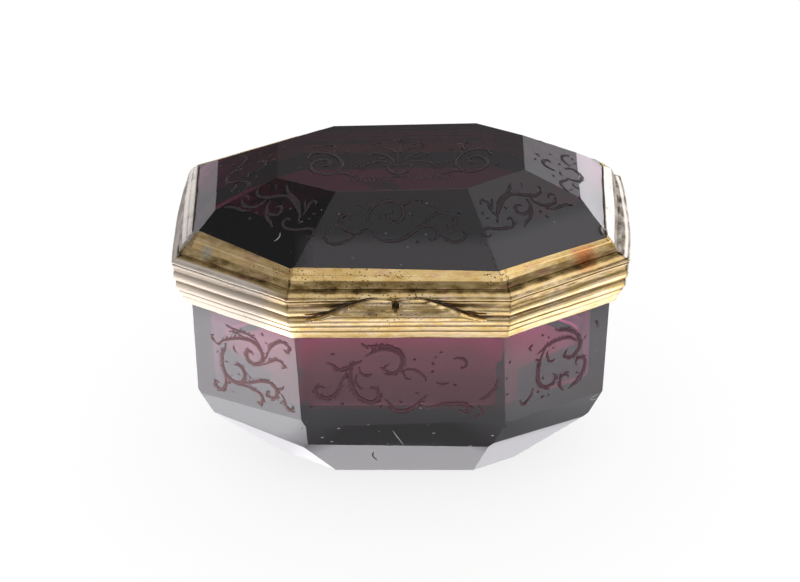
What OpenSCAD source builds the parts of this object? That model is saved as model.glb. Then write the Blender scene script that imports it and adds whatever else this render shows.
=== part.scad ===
// Faceted glass casket box: an elongated octagon of cut glass in gilt brass mounts,
// with a solid domed glass lid on a knuckle hinge along the back.
// Origin at the centre of the bottom face, X along the box, front towards -Y, Z up.

/* [Plan of the mounts] */
// Length over the widest moulding
rim_l = 88; // [84:1:96]
// Depth over the widest moulding
rim_w = 56.4; // [54:0.4:62]
// Length of the front straight at the widest moulding
side_l = 42.7; // [40.7:0.5:45.7]
// Angle between a long side and the oblique side next to it
oblique_angle = 30; // [28:1:33]

/* [Heights] */
// Height of the parting line between body and lid
seam_h = 51.4; // [48:0.4:58]
// Height of the lid's table above the parting line
lid_h = 14.75; // [13.5:0.25:17]

/* [Body glass] */
// Length of the bottom face
base_l = 48; // [42:1:54]
// Depth of the bottom face
base_w = 24.2; // [20:0.2:28]
// Front straight of the bottom face
base_side = 27.6; // [25:0.2:30]
// Height of the edge between the two rings of base facets
break_h = 12; // [10:0.5:14]
// Inset of that edge from the widest moulding
break_inset = 6.8; // [5.8:0.2:8]
// Height at which the upright walls start
foot_h = 18.8; // [17:0.2:21]
// Inset of the walls there
foot_inset = 4.1; // [3.9:0.1:4.6]
// Inset of the walls at their top edge
wall_inset = 3.55; // [3.45:0.05:3.8]
// Thickness of the walls at their top edge
wall = 3.6; // [3:0.1:4.2]
// Height of the cavity floor
floor_h = 20.8; // [18:0.2:24]
// Slope left round the cavity floor
floor_chamfer = 1.4; // [0.8:0.2:2.4]
// How much the cavity narrows from its mouth to its floor
cavity_draft = 0.4; // [0:0.1:1]

/* [Lid glass] */
// Length of the lid's table
table_l = 47.8; // [42:0.4:52]
// Depth of the lid's table
table_w = 23.8; // [20:0.2:27]
// Front straight of the lid's table
table_side = 25; // [23:0.5:28]
// Height of the facets where they leave the bezel, above the parting line
glass_line_h = 4.7; // [4.4:0.1:5.2]
// Inset of that line from the widest moulding
glass_line_inset = 3.92; // [3.7:0.02:4.3]
// Height of the ridge across each end of the lid, above the parting line
ridge_h = 8.97; // [8:0.05:10]
// Inset of the ridge from the widest moulding
ridge_inset = 8.74; // [8:0.05:9.6]
// Inset of the lid glass's edge inside the bezel
girdle_inset = 3.1; // [3:0.02:3.3]
// Height of the lid glass's underside above the parting line
under_h = 2.6; // [2.5:0.05:2.9]

/* [Body rim] */
// Depth of the rim below the parting line
skirt_h = 10.2; // [9.8:0.1:11.5]
// Inner face of the skirt, inset from the widest moulding
skirt_inset = 3.2; // [3.1:0.02:3.22]
// Inset of the skirt's lower edge
skirt_edge_inset = 2.65; // [2.5:0.05:2.8]
// Top of the sloping band on the skirt, below the parting line
band_top = 6.75; // [6.6:0.05:7]
// Inset of the band's top
band_inset = 1.3; // [1.2:0.05:1.5]
// Radius of the round moulding
bead_r = 1.1; // [0.9:0.05:1.15]
// Centre of the round moulding below the parting line
bead_drop = 2.8; // [2.7:0.05:2.9]
// Radius of the fuller moulding under it
ovolo_r = 1.2; // [1:0.05:1.3]
// Centre of the fuller moulding below the parting line
ovolo_drop = 5.35; // [5.25:0.05:5.45]
// Radius of the hollow under the rim's lip
cove_r = 0.75; // [0.6:0.05:0.8]
// Thickness of the plate over the glass's top edge
plate_t = 1.2; // [0.9:0.1:1.4]

/* [Flange inside the rim] */
// Thickness of the upright flange
flange_t = 0.8; // [0.6:0.05:1.2]
// Rise of the flange above the parting line
flange_rise = 1.6; // [1.2:0.1:1.8]
// Depth of the flange below the parting line
flange_drop = 3.9; // [3:0.1:6]

/* [Lid mounts] */
// Height of the lid rim's top above the parting line
lid_rim_h = 1.58; // [1.54:0.02:1.66]
// Inset of the bezel's lowest edge
bezel_inset = 1.5; // [1.3:0.05:1.7]
// Inset of the ridge between the bezel's two bevels
bevel_inset = 2.1; // [1.9:0.05:2.3]
// Height of that ridge above the parting line
bevel_h = 3.2; // [3:0.05:3.4]
// Rise of the bezel's lip above the glass line
lip_rise = 0.25; // [0.2:0.05:0.4]
// Thickness of the retaining frame under the lid glass
frame_t = 0.75; // [0.6:0.05:0.85]
// Width of the frame's turned-down inner edge
hem_t = 0.7; // [0.5:0.05:1]

/* [Thumbpiece] */
// Length of the thumbpiece
thumb_l = 34.6; // [30:0.2:38]
// How far it stands out in front of the rim
thumb_reach = 1.45; // [1.4:0.05:1.7]
// Distance between its two lobes
lobe_gap = 9.2; // [7:0.2:12]
// Rise of the lobes above the parting line
lobe_rise = 1.05; // [0.9:0.05:1.2]
// Depth of its lower edge below the parting line
thumb_drop = 3.95; // [3.8:0.05:4.1]
// Width of the notch between the lobes
notch_w = 1.4; // [1:0.1:2.2]
// Depth of the notch
notch_h = 2.6; // [2:0.1:3]

/* [Hinge] */
// Length of the hinge
hinge_l = 36; // [32:0.5:39]
// Outer radius of the knuckles
knuckle_r = 1.35; // [1.2:0.05:1.6]
// Radius of the hinge pin
pin_r = 0.5; // [0.4:0.05:0.6]
// Distance of the pin's axis behind the widest moulding
hinge_out = 0.1; // [0.1:0.05:0.4]
// Thickness of the riveted heads
head_t = 0.6; // [0.4:0.1:0.8]
// Radius of the riveted heads
head_r = 0.95; // [0.8:0.05:1.1]

/* [Clearances] */
// Gap between the closed lid and the body
seam_gap = 0.2; // [0.1:0.02:0.3]
// Gap between soldered or bedded pieces
seat_gap = 0.05; // [0.03:0.01:0.06]
// Gap left for cement beside the body glass
cement_gap = 0.03; // [0.02:0.01:0.04]
// Gap between the flange and the frame that drops over it
flange_gap = 0.2; // [0.15:0.01:0.3]
// Gap round a knuckle of the other leaf
swing_gap = 0.3; // [0.2:0.05:0.4]
// Gap between the ends of neighbouring knuckles
knuckle_gap = 0.1; // [0.06:0.02:0.2]
// Radial clearance of the pin in the knuckles that turn on it
running_gap = 0.04; // [0.03:0.01:0.06]
// Radial clearance of the pin in the knuckles that hold it
holding_gap = 0.02; // [0.01:0.01:0.03]

/* [Hidden] */
$fn = 64;

// Distances of the end, oblique and long sides from the vertical axis
rim = reaches(rim_l, rim_w, side_l);
base = reaches(base_l, base_w, base_side);
table = reaches(table_l, table_w, table_side);

glass_top_h = seam_h - seam_gap / 2 - plate_t - seat_gap;
cavity_inset = wall_inset + wall;
flange_inset = cavity_inset + 3 * seat_gap;
frame_inset = flange_inset - flange_gap;
lid_skirt_inset = girdle_inset - seat_gap;
cement_t = 0.25;
frame_top = under_h - cement_t - 2 * cement_gap;
knuckle_count = 7;
knuckle_l = (hinge_l - (knuckle_count - 1) * knuckle_gap) / knuckle_count;
hinge_y = rim_w / 2 + hinge_out;
thumb_back = 0.05;
through = 1;

glass_colour = [0.30, 0.20, 0.26];
brass_colour = [0.80, 0.66, 0.42];
cement_colour = [0.78, 0.74, 0.66];

function reaches(length, depth, side) =
    [length / 2, side / 2 * sin(oblique_angle) + depth / 2 * cos(oblique_angle), depth / 2];
function inset(sides, by) = [for (d = sides) d - by];

// A half section (distance from the axis, height) mirrored and run along the sides that face this way
module side_slab(angle, section) {
    mirrored = [for (i = [len(section) - 1:-1:0]) [-section[i][0], section[i][1]]];
    rotate([0, 0, angle])
        rotate([90, 0, 0])
            linear_extrude(height = 2 * rim_l, center = true)
                polygon(concat(section, mirrored));
}

// What three half sections leave when the ends, oblique sides and long sides are all cut
module cut_block(sections) {
    intersection() {
        side_slab(0, sections[0]);
        side_slab(90 - oblique_angle, sections[1]);
        side_slab(90 + oblique_angle, sections[1]);
        side_slab(90, sections[2]);
    }
}

// Half sections for the three kinds of side, from points of inset and height above the parting line
function around(points) = [for (k = [0:2]) [for (p = points) [rim[k] - p[0], seam_h + p[1]]]];

// A moulding run round all eight sides: what its outside encloses, less what its inside does.
// Both lists run upwards as inset from the widest moulding and height above the parting line.
module ring(outside, inside) {
    last = len(inside) - 1;
    difference() {
        cut_block(around(outside));
        cut_block(around(concat([[inside[0][0], inside[0][1] - through]], inside,
            [[inside[last][0], inside[last][1] + through]])));
    }
}

// Points along an arc of a section; angles run from straight outwards, upwards positive
function arc(centre, r, from, to, steps = 8) =
    [for (i = [0:steps])
        let (a = from + (to - from) * i / steps)
        [centre[0] - r * cos(a), centre[1] + r * sin(a)]];

// Section points given as inset and height above the parting line
module section(points) {
    polygon([for (p = points) [-p[0], seam_h + p[1]]]);
}

module section_circle(from_edge, height, r) {
    translate([-from_edge, seam_h + height])
        circle(r);
}

module body_glass() {
    top = inset(rim, wall_inset);
    foot = inset(rim, foot_inset);
    edge = inset(rim, break_inset);
    color(glass_colour)
        difference() {
            cut_block([for (k = [0:2])
                [[base[k], 0], [edge[k], break_h], [foot[k], foot_h], [top[k], glass_top_h]]]);
            cavity();
        }
}

module cavity() {
    mouth = inset(rim, cavity_inset);
    floor_line = inset(mouth, cavity_draft);
    cut_block([for (k = [0:2])
        [[floor_line[k] - floor_chamfer, floor_h], [floor_line[k], floor_h + floor_chamfer],
            [mouth[k], glass_top_h], [mouth[k], glass_top_h + through]]]);
}

module body_cement() {
    outer = skirt_inset + cement_gap;
    inner = wall_inset - cement_gap;
    bottom = cement_t - skirt_h;
    top = glass_top_h - seam_h - cement_t;
    color(cement_colour)
        ring([[outer, bottom], [outer, top]], [[inner, bottom], [inner, top]]);
}

// Sloping band, fuller moulding, round bead, hollow and lip, from the skirt's edge upwards
module body_rim() {
    lip_inset = 0.1;
    lip_bevel = 0.08;
    quirk = 0.3;
    plate_top = -seam_gap / 2;
    plate_bottom = plate_top - plate_t;
    plate_end = cavity_inset + 2 * seat_gap;
    ovolo = arc([ovolo_r + 0.55, -ovolo_drop], ovolo_r, -62, 70);
    bead = arc([bead_r + 0.15, -bead_drop], bead_r, -70, 70);
    cove = arc([-0.1, -bead_drop + bead_r + 2 * cove_r / 3], cove_r, 180, 105);
    color(brass_colour)
        difference() {
            ring(concat(
                [[skirt_edge_inset, -skirt_h], [skirt_edge_inset - quirk, -skirt_h + quirk],
                    [band_inset, -band_top], [band_inset + quirk, -band_top + quirk]],
                ovolo, bead, cove,
                [[lip_inset, plate_top - lip_bevel], [lip_inset + lip_bevel, plate_top]]),
                [[skirt_inset, -skirt_h], [skirt_inset, plate_bottom],
                    [plate_end, plate_bottom], [plate_end, plate_top]]);
            hinge_bed(0);
        }
}

module body_flange() {
    edge = flange_t / 4;
    inner = flange_inset + flange_t;
    color(brass_colour)
        ring([[flange_inset, -flange_drop], [flange_inset, flange_rise - edge],
            [flange_inset + edge, flange_rise]],
            [[inner, -flange_drop], [inner, flange_rise - edge], [inner - edge, flange_rise]]);
}

// The lid's half sections; swell grows them for the seat in the bezel
module lid_blank(swell = 0, bottom = under_h) {
    line = inset(rim, glass_line_inset);
    girdle = inset(rim, girdle_inset);
    ridge = rim[0] - ridge_inset;
    rise = [(ridge_h - glass_line_h) / (line[0] - ridge),
        (lid_h - glass_line_h) / (line[1] - table[1]), (lid_h - glass_line_h) / (line[2] - table[2])];
    shoulder = [for (k = [0:2]) glass_line_h - rise[k] * (girdle[k] + swell - line[k]) + swell];
    translate([0, 0, seam_h])
        cut_block([for (k = [0:2])
            concat([[girdle[k] + swell, bottom], [girdle[k] + swell, shoulder[k]]],
                k == 0 ? [[ridge, ridge_h + swell]] : [],
                [[table[k], lid_h + swell]])]);
}

module lid_glass() {
    color(glass_colour)
        lid_blank();
}

module lid_cement() {
    outer = girdle_inset + cement_t;
    inner = frame_inset - hem_t;
    bottom = frame_top + cement_gap;
    top = under_h - cement_gap;
    color(cement_colour)
        ring([[outer, bottom], [outer, top]], [[inner, bottom], [inner, top]]);
}

// Two bevels over a small fillet, with the lip that holds the glass
module lid_bezel() {
    fillet = 0.1;
    start = lid_rim_h + seat_gap;
    tip = glass_line_h + lip_rise;
    color(brass_colour)
        difference() {
            ring([[bezel_inset + fillet, start], [bezel_inset, start + fillet],
                [bezel_inset, start + 3 * fillet], [bevel_inset, bevel_h],
                [glass_line_inset - lip_rise, tip], [glass_line_inset - lip_rise / 2, tip]],
                [[glass_line_inset, start], [glass_line_inset, tip - lip_rise / 2],
                    [glass_line_inset - lip_rise / 2, tip]]);
            lid_blank(seat_gap, 0);
        }
}

// A lip, a groove and a sloping fillet under the bezel
module lid_rim() {
    color(brass_colour)
        difference() {
            ring([[0.1, seam_gap / 2], [0.02, seam_gap / 2 + 0.08], [0.02, 0.5], [0.25, 0.62],
                [0.4, 0.62], [0.4, 0.74], [1.25, 1.3], [1.75, 1.3], [1.75, lid_rim_h]],
                [[lid_skirt_inset, seam_gap / 2], [lid_skirt_inset, lid_rim_h]]);
            hinge_bed(1);
        }
}

// Flat frame that carries the glass, turned down where it drops over the flange
module lid_frame() {
    outer = lid_skirt_inset + seat_gap;
    hem = frame_inset - hem_t;
    plate_bottom = frame_top - frame_t;
    color(brass_colour)
        ring([[hem, seam_gap], [hem, plate_bottom], [outer, plate_bottom], [outer, frame_top]],
            [[frame_inset, seam_gap], [frame_inset, frame_top]]);
}

// Upper edge of the thumbpiece: two lobes that run out in long curves to the ends
function brace_height(x) =
    let (lobe = lobe_gap / 2)
    let (drop = lobe_rise + thumb_drop - 0.5)
    abs(x) > lobe
        ? lobe_rise - drop * (1 - cos(180 * pow((abs(x) - lobe) / (thumb_l / 2 - lobe), 0.75))) / 2
        : lobe_rise - 0.45 * pow(1 - abs(x) / lobe, 2);

module brace_outline() {
    steps = 24;
    half = thumb_l / 2;
    difference() {
        polygon(concat([[-half, -thumb_drop], [half, -thumb_drop]],
            [for (i = [steps:-1:-steps]) [half * i / steps, brace_height(half * i / steps)]]));
        polygon([[-notch_w / 2, lobe_rise + through], [-notch_w / 2, lobe_rise - 0.9],
            [0, lobe_rise - notch_h], [notch_w / 2, lobe_rise - 0.9], [notch_w / 2, lobe_rise + through]]);
    }
}

// The body's bead and hollow again, one step further out
module thumb_section() {
    hollow_r = 0.7;
    step = 0.35;
    difference() {
        section([[-thumb_back, -thumb_drop], [-thumb_reach + 2 * step, -thumb_drop],
            [-thumb_reach + step, -bead_drop], [-thumb_reach + step / 2, -step],
            [-thumb_reach + 2 * step, lobe_rise + through], [-thumb_back, lobe_rise + through]]);
        section_circle(-thumb_reach - step, -bead_drop + bead_r + hollow_r, hollow_r);
    }
    intersection() {
        section_circle(-thumb_reach + bead_r, -bead_drop, bead_r);
        section([[-thumb_back, -thumb_drop], [-thumb_reach - through, -thumb_drop],
            [-thumb_reach - through, lobe_rise], [-thumb_back, lobe_rise]]);
    }
}

module thumbpiece() {
    color(brass_colour)
        intersection() {
            rotate([0, 0, 270])
                translate([rim_w / 2, 0, 0])
                    rotate([90, 0, 0])
                        linear_extrude(height = thumb_l, center = true)
                            thumb_section();
            translate([0, -rim_w / 2 + through, seam_h])
                rotate([90, 0, 0])
                    linear_extrude(height = 2 * through + thumb_reach)
                        brace_outline();
        }
}

// Knuckles count from -X; the even ones belong to the body, the odd ones to the lid
function knuckle_x(i) = -hinge_l / 2 + i * (knuckle_l + knuckle_gap);

module along_hinge(x) {
    translate([x, hinge_y, seam_h])
        rotate([0, 90, 0])
            children();
}

// Hollows for the knuckles in the rim of one leaf, with swinging room for those of the other
module hinge_bed(leaf) {
    for (i = [0:knuckle_count - 1])
        along_hinge(knuckle_x(i) - knuckle_gap / 2)
            cylinder(r = knuckle_r + (i % 2 == leaf ? seat_gap : swing_gap), h = knuckle_l + knuckle_gap);
    along_hinge(-hinge_l / 2 - head_t - 2 * swing_gap)
        cylinder(r = knuckle_r + seat_gap, h = hinge_l + 2 * head_t + 4 * swing_gap);
}

module knuckle(i) {
    gap = i % 2 == 0 ? holding_gap : running_gap;
    color(brass_colour)
        along_hinge(knuckle_x(i))
            difference() {
                cylinder(r = knuckle_r, h = knuckle_l);
                translate([0, 0, -through])
                    cylinder(r = pin_r + gap, h = knuckle_l + 2 * through);
            }
}

module hinge_pin() {
    color(brass_colour)
        along_hinge(-hinge_l / 2)
            cylinder(r = pin_r, h = hinge_l);
}

module pin_heads() {
    color(brass_colour)
        for (end = [0, 1])
            mirror([end, 0, 0])
                along_hinge(hinge_l / 2 + seat_gap)
                    rotate_extrude()
                        intersection() {
                            square([head_r, head_t]);
                            translate([0, head_t - head_r])
                                circle(head_r);
                        }
}

body_glass();
body_cement();
body_rim();
body_flange();
knuckle(0);  // body_knuckle_1
knuckle(1);  // lid_knuckle_1
knuckle(2);  // body_knuckle_2
knuckle(3);  // lid_knuckle_2
knuckle(4);  // body_knuckle_3
knuckle(5);  // lid_knuckle_3
knuckle(6);  // body_knuckle_4
hinge_pin();
pin_heads();
lid_glass();
lid_cement();
lid_bezel();
lid_rim();
lid_frame();
thumbpiece();
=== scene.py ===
# Faceted casket box: wheel-engraved amethyst glass in gilt brass mounts, with a domed glass lid.
import functools
import math
import random

import bmesh
import bpy
from mathutils import Matrix, Vector, noise


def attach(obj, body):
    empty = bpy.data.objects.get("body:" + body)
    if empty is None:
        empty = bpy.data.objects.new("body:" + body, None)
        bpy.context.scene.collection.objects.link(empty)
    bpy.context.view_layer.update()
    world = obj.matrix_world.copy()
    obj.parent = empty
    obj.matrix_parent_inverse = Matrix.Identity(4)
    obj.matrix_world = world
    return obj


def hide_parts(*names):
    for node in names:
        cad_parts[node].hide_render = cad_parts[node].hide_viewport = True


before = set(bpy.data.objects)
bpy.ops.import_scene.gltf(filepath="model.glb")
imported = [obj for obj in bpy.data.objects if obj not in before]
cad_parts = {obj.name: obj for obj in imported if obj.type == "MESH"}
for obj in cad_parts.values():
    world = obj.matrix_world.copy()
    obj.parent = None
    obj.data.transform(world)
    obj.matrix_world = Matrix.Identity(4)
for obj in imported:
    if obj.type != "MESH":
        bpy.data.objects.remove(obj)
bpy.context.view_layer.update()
mm = 0.001
tiny = 1e-7   # metres: points nearer than this are one
random.seed(7)
noise.seed_set(7)

# the eight sides, named by where each one faces, with the angle of its outward normal
sides = {"front": -90, "frontRight": -60, "right": 0, "backRight": 60,
         "back": 90, "backLeft": 120, "left": 180, "frontLeft": -120}
around = list(sides)
rimReach = {"end": 44.0, "oblique": 35.097, "long": 28.2}
# how far along an oblique side its middle lies at one reach, and how much more per millimetre further out
obliqueMiddle = {"along": 16.9, "reach": 31.3, "growth": 0.37}
seamHeight = 51.4


def kindOf(side):
    return {0: "end", 180: "end", 90: "long", -90: "long"}.get(sides[side], "oblique")


def sideShift(side, reach):
    # how far the middle of an oblique facet lies along it, at a given reach
    if kindOf(side) != "oblique":
        return 0.0
    way = -1 if side in ("frontLeft", "backRight") else 1
    return way * (obliqueMiddle["along"] + (reach - obliqueMiddle["reach"]) * obliqueMiddle["growth"])


def clamp(share):
    return min(max(share, 0.0), 1.0)


def linear(code):
    # an sRGB hex colour as linear red, green, blue and alpha
    parts = [int(code[i:i + 2], 16) / 255 for i in (1, 3, 5)]
    return tuple(c / 12.92 if c < 0.04045 else ((c + 0.055) / 1.055) ** 2.4 for c in parts) + (1.0,)


def addNode(tree, kind, inputs=None, stops=None, **options):
    # each input takes a plain value, another node's first output, or one output picked by name;
    # a list of inputs goes by their order, and From and To take both ends of a range
    node = tree.nodes.new("ShaderNode" + kind)
    for name, value in options.items():
        setattr(node, name, value)
    if isinstance(inputs, list):
        inputs = dict(enumerate(inputs))
    for name, value in (inputs or {}).items():
        if isinstance(value, bpy.types.Node):
            value = next(output for output in value.outputs if output.enabled)
        if isinstance(value, bpy.types.NodeSocket):
            tree.links.new(value, node.inputs[name])
        elif name in ("From", "To"):
            node.inputs[name + " Min"].default_value, node.inputs[name + " Max"].default_value = value
        else:
            node.inputs[name].default_value = value
    if stops:
        ramp = node.color_ramp.elements
        while len(ramp) > 1:
            ramp.remove(ramp[-1])
        ramp[0].position, ramp[0].color = stops[0]
        for place, colour in stops[1:]:
            ramp.new(place).color = colour
    return node


def newMaterial(name):
    material = bpy.data.materials.new(name)
    material.use_nodes = True
    material.node_tree.nodes.clear()
    return material, functools.partial(addNode, material.node_tree)


def grey(value):
    return (value, value, value, 1.0)


glassLook = {
    "tint": "#F4EAEE", "ior": 1.52, "roughness": 0.015, "smeared": 0.09,
    "absorb": (0.51, 0.0, 0.30, 1.0), "density": 320.0,   # per metre
}


def amethystGlass():
    # amethyst glass, cut and polished on the wheel: clear, plum-coloured in depth, faintly wavy and smeared
    material, add = newMaterial("amethyst_glass")
    place = add("TexCoord").outputs["Object"]
    axes = add("SeparateXYZ", {"Vector": place})
    x, z = axes.outputs["X"], axes.outputs["Z"]
    waves = add("TexNoise", {"Scale": 1 / (9 * mm), "Detail": 1.0, "Vector": place})
    smears = add("TexNoise", {"Scale": 1 / (4 * mm), "Detail": 5.0, "Roughness": 0.65, "Vector": place})
    rough = add("MapRange", {"From": (0.45, 0.8), "To": (glassLook["roughness"], glassLook["smeared"]),
                             "Value": smears})
    bump = add("Bump", {"Strength": 0.12, "Distance": 0.1 * mm, "Height": waves})
    # a film of dust low on the lid's front and right, and stray specks all over
    low = add("MapRange", {"From": (60.6 * mm, 59.0 * mm), "To": (0.0, 0.028), "Value": z})
    above = add("MapRange", {"From": (53 * mm, 54 * mm), "Value": z})
    toRight = add("MapRange", {"From": (-20 * mm, -16 * mm), "Value": x})
    onLid = add("Math", [low, above], operation="MULTIPLY")
    film = add("Math", [onLid, toRight], operation="MULTIPLY")
    motes = add("TexVoronoi", {"Scale": 1 / (2.6 * mm), "Vector": place})
    speck = add("MapRange", {"From": (0.03, 0.05), "To": (0.35, 0.0), "Value": motes})
    dust = add("Math", [film, speck], operation="ADD")
    clear = add("Math", [1.0, dust], operation="SUBTRACT")
    shader = add("BsdfPrincipled", {"Base Color": linear(glassLook["tint"]), "IOR": glassLook["ior"],
                                    "Roughness": rough, "Normal": bump, "Transmission Weight": clear})
    depth = add("VolumeAbsorption", {"Color": glassLook["absorb"], "Density": glassLook["density"]})
    add("OutputMaterial", {"Surface": shader, "Volume": depth})
    return material


def groundGlass(name, edge, middle):
    # amethyst glass ground matt by the engraver's wheel: soft and mottled, with painted shade darkening each
    # cut's sides where they tilt away from the facet
    material, add = newMaterial(name)
    place = add("TexCoord").outputs["Object"]
    rise = add("Attribute", attribute_name="rise").outputs["Fac"]
    mottle = add("TexNoise", {"Scale": 1 / (0.35 * mm), "Detail": 4.0, "Roughness": 0.65, "Vector": place})
    inner = add("MapRange", {"From": (0.35, 0.8), "Value": rise})
    patchy = add("MapRange", {"From": (0.38, 0.6), "Value": mottle})
    litMottle = add("Math", [inner, patchy], operation="MULTIPLY")
    # the edge tone is painted shade on each cut's sloping sides, the middle tone is its lit top
    tone = add("ValToRGB", {"Fac": litMottle}, [(0.0, linear(edge)), (1.0, linear(middle))])
    veil = add("MapRange", {"To": (0.8, 0.35), "Value": litMottle})
    shader = add("BsdfPrincipled", {"Roughness": 0.55, "IOR": 1.45, "Base Color": tone, "Alpha": veil})
    add("OutputMaterial", {"Surface": shader})
    return material


def scratchedGlass():
    # glass freshly scratched or chipped: powdery grey-white
    material, add = newMaterial("scratched_glass")
    shader = add("BsdfPrincipled", {"Base Color": linear("#B9B4B8"), "Roughness": 0.6, "Alpha": 0.55})
    add("OutputMaterial", {"Surface": shader})
    return material


giltLook = {
    "bright": "#EACF96", "warm": "#D2AD66", "copper": "#C88E74", "brown": "#54462B", "dark": "#2A2118",
    # the near-white colour for the ends is a painted reflection of the white backdrop
    "pale": "#D6CBBD", "light": "#E8E0D4", "cream": "#F2DEBA", "reflectedWhite": "#F0EAE2", "roughness": (0.16, 0.78),
    # where dirt and painted shade lie: height above the parting line, then how much; from -1.75 to -0.75 it
    # is painted shade in the body rim's shadowed cove
    "dirtAndShade": [(-10.3, 0.35), (-9.9, 0.05), (-8.3, 0.05), (-8.0, 0.45), (-7.7, 0.05), (-6.85, 0.1),
             (-6.5, 0.55), (-6.2, 0.2), (-5.4, 0.05), (-4.6, 0.1), (-4.15, 0.7), (-3.7, 0.1), (-2.1, 0.1),
             (-1.75, 0.6), (-0.75, 0.65), (-0.45, 0.1), (-0.12, 0.5), (0.0, 0.95), (0.14, 0.2), (0.5, 0.3),
             (0.64, 0.9), (0.85, 0.15), (1.08, 0.2), (1.24, 0.8), (1.7, 0.8), (1.9, 0.68), (3.05, 0.62),
             (3.25, 0.05), (4.75, 0.05), (5.0, 0.6)],
    "darkBandsFrom": -10.4, "darkBandsTo": 5.1,
    # the mitred corners' lines in plan: slope, and where each line starts in millimetres
    "frontMitre": (0.268, 13.79), "endMitre": (0.577, -10.28),
    # clusters of pits: middle and radius
    "pitted": [((-8.0, -26.0, 55.0), 5.5), ((-19.5, -26.0, 55.3), 3.0), ((19.0, -26.0, 55.3), 3.2),
               ((-25.5, -22.8, 54.8), 3.6), ((-1.0, -29.0, 51.6), 7.0)],
    # films of colour left by heat
    "films": [((-36.3, -15.0, 53.6), 2.4, "#8FB6C6"), ((35.5, -17.2, 53.6), 3.4, "#DE8048")],
}


def roundPatch(add, place, middle, radius, core, most):
    # strength of a soft patch about a point: most inside its core, nothing past its radius
    away = add("VectorMath", [place, Vector(middle) * mm], operation="DISTANCE")
    return add("MapRange", {"From": (radius * mm * core, radius * mm), "To": (most, 0.0), "Value": away})


def fromMitre(add, first, second, mitre):
    # how far a point stands from the line of a mitred corner, the same in all four quarters
    slope, start = mitre
    line = add("Math", [first, -slope, second], operation="MULTIPLY_ADD")
    return add("Math", [line, start * mm], operation="SUBTRACT")


def overlay(add, colour, coats):
    # lays further colours over a first one, each by its share
    for share, over in coats:
        colour = add("Mix", {"Factor": share, 6: colour, 7: over}, data_type="RGBA")
    return colour


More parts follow.
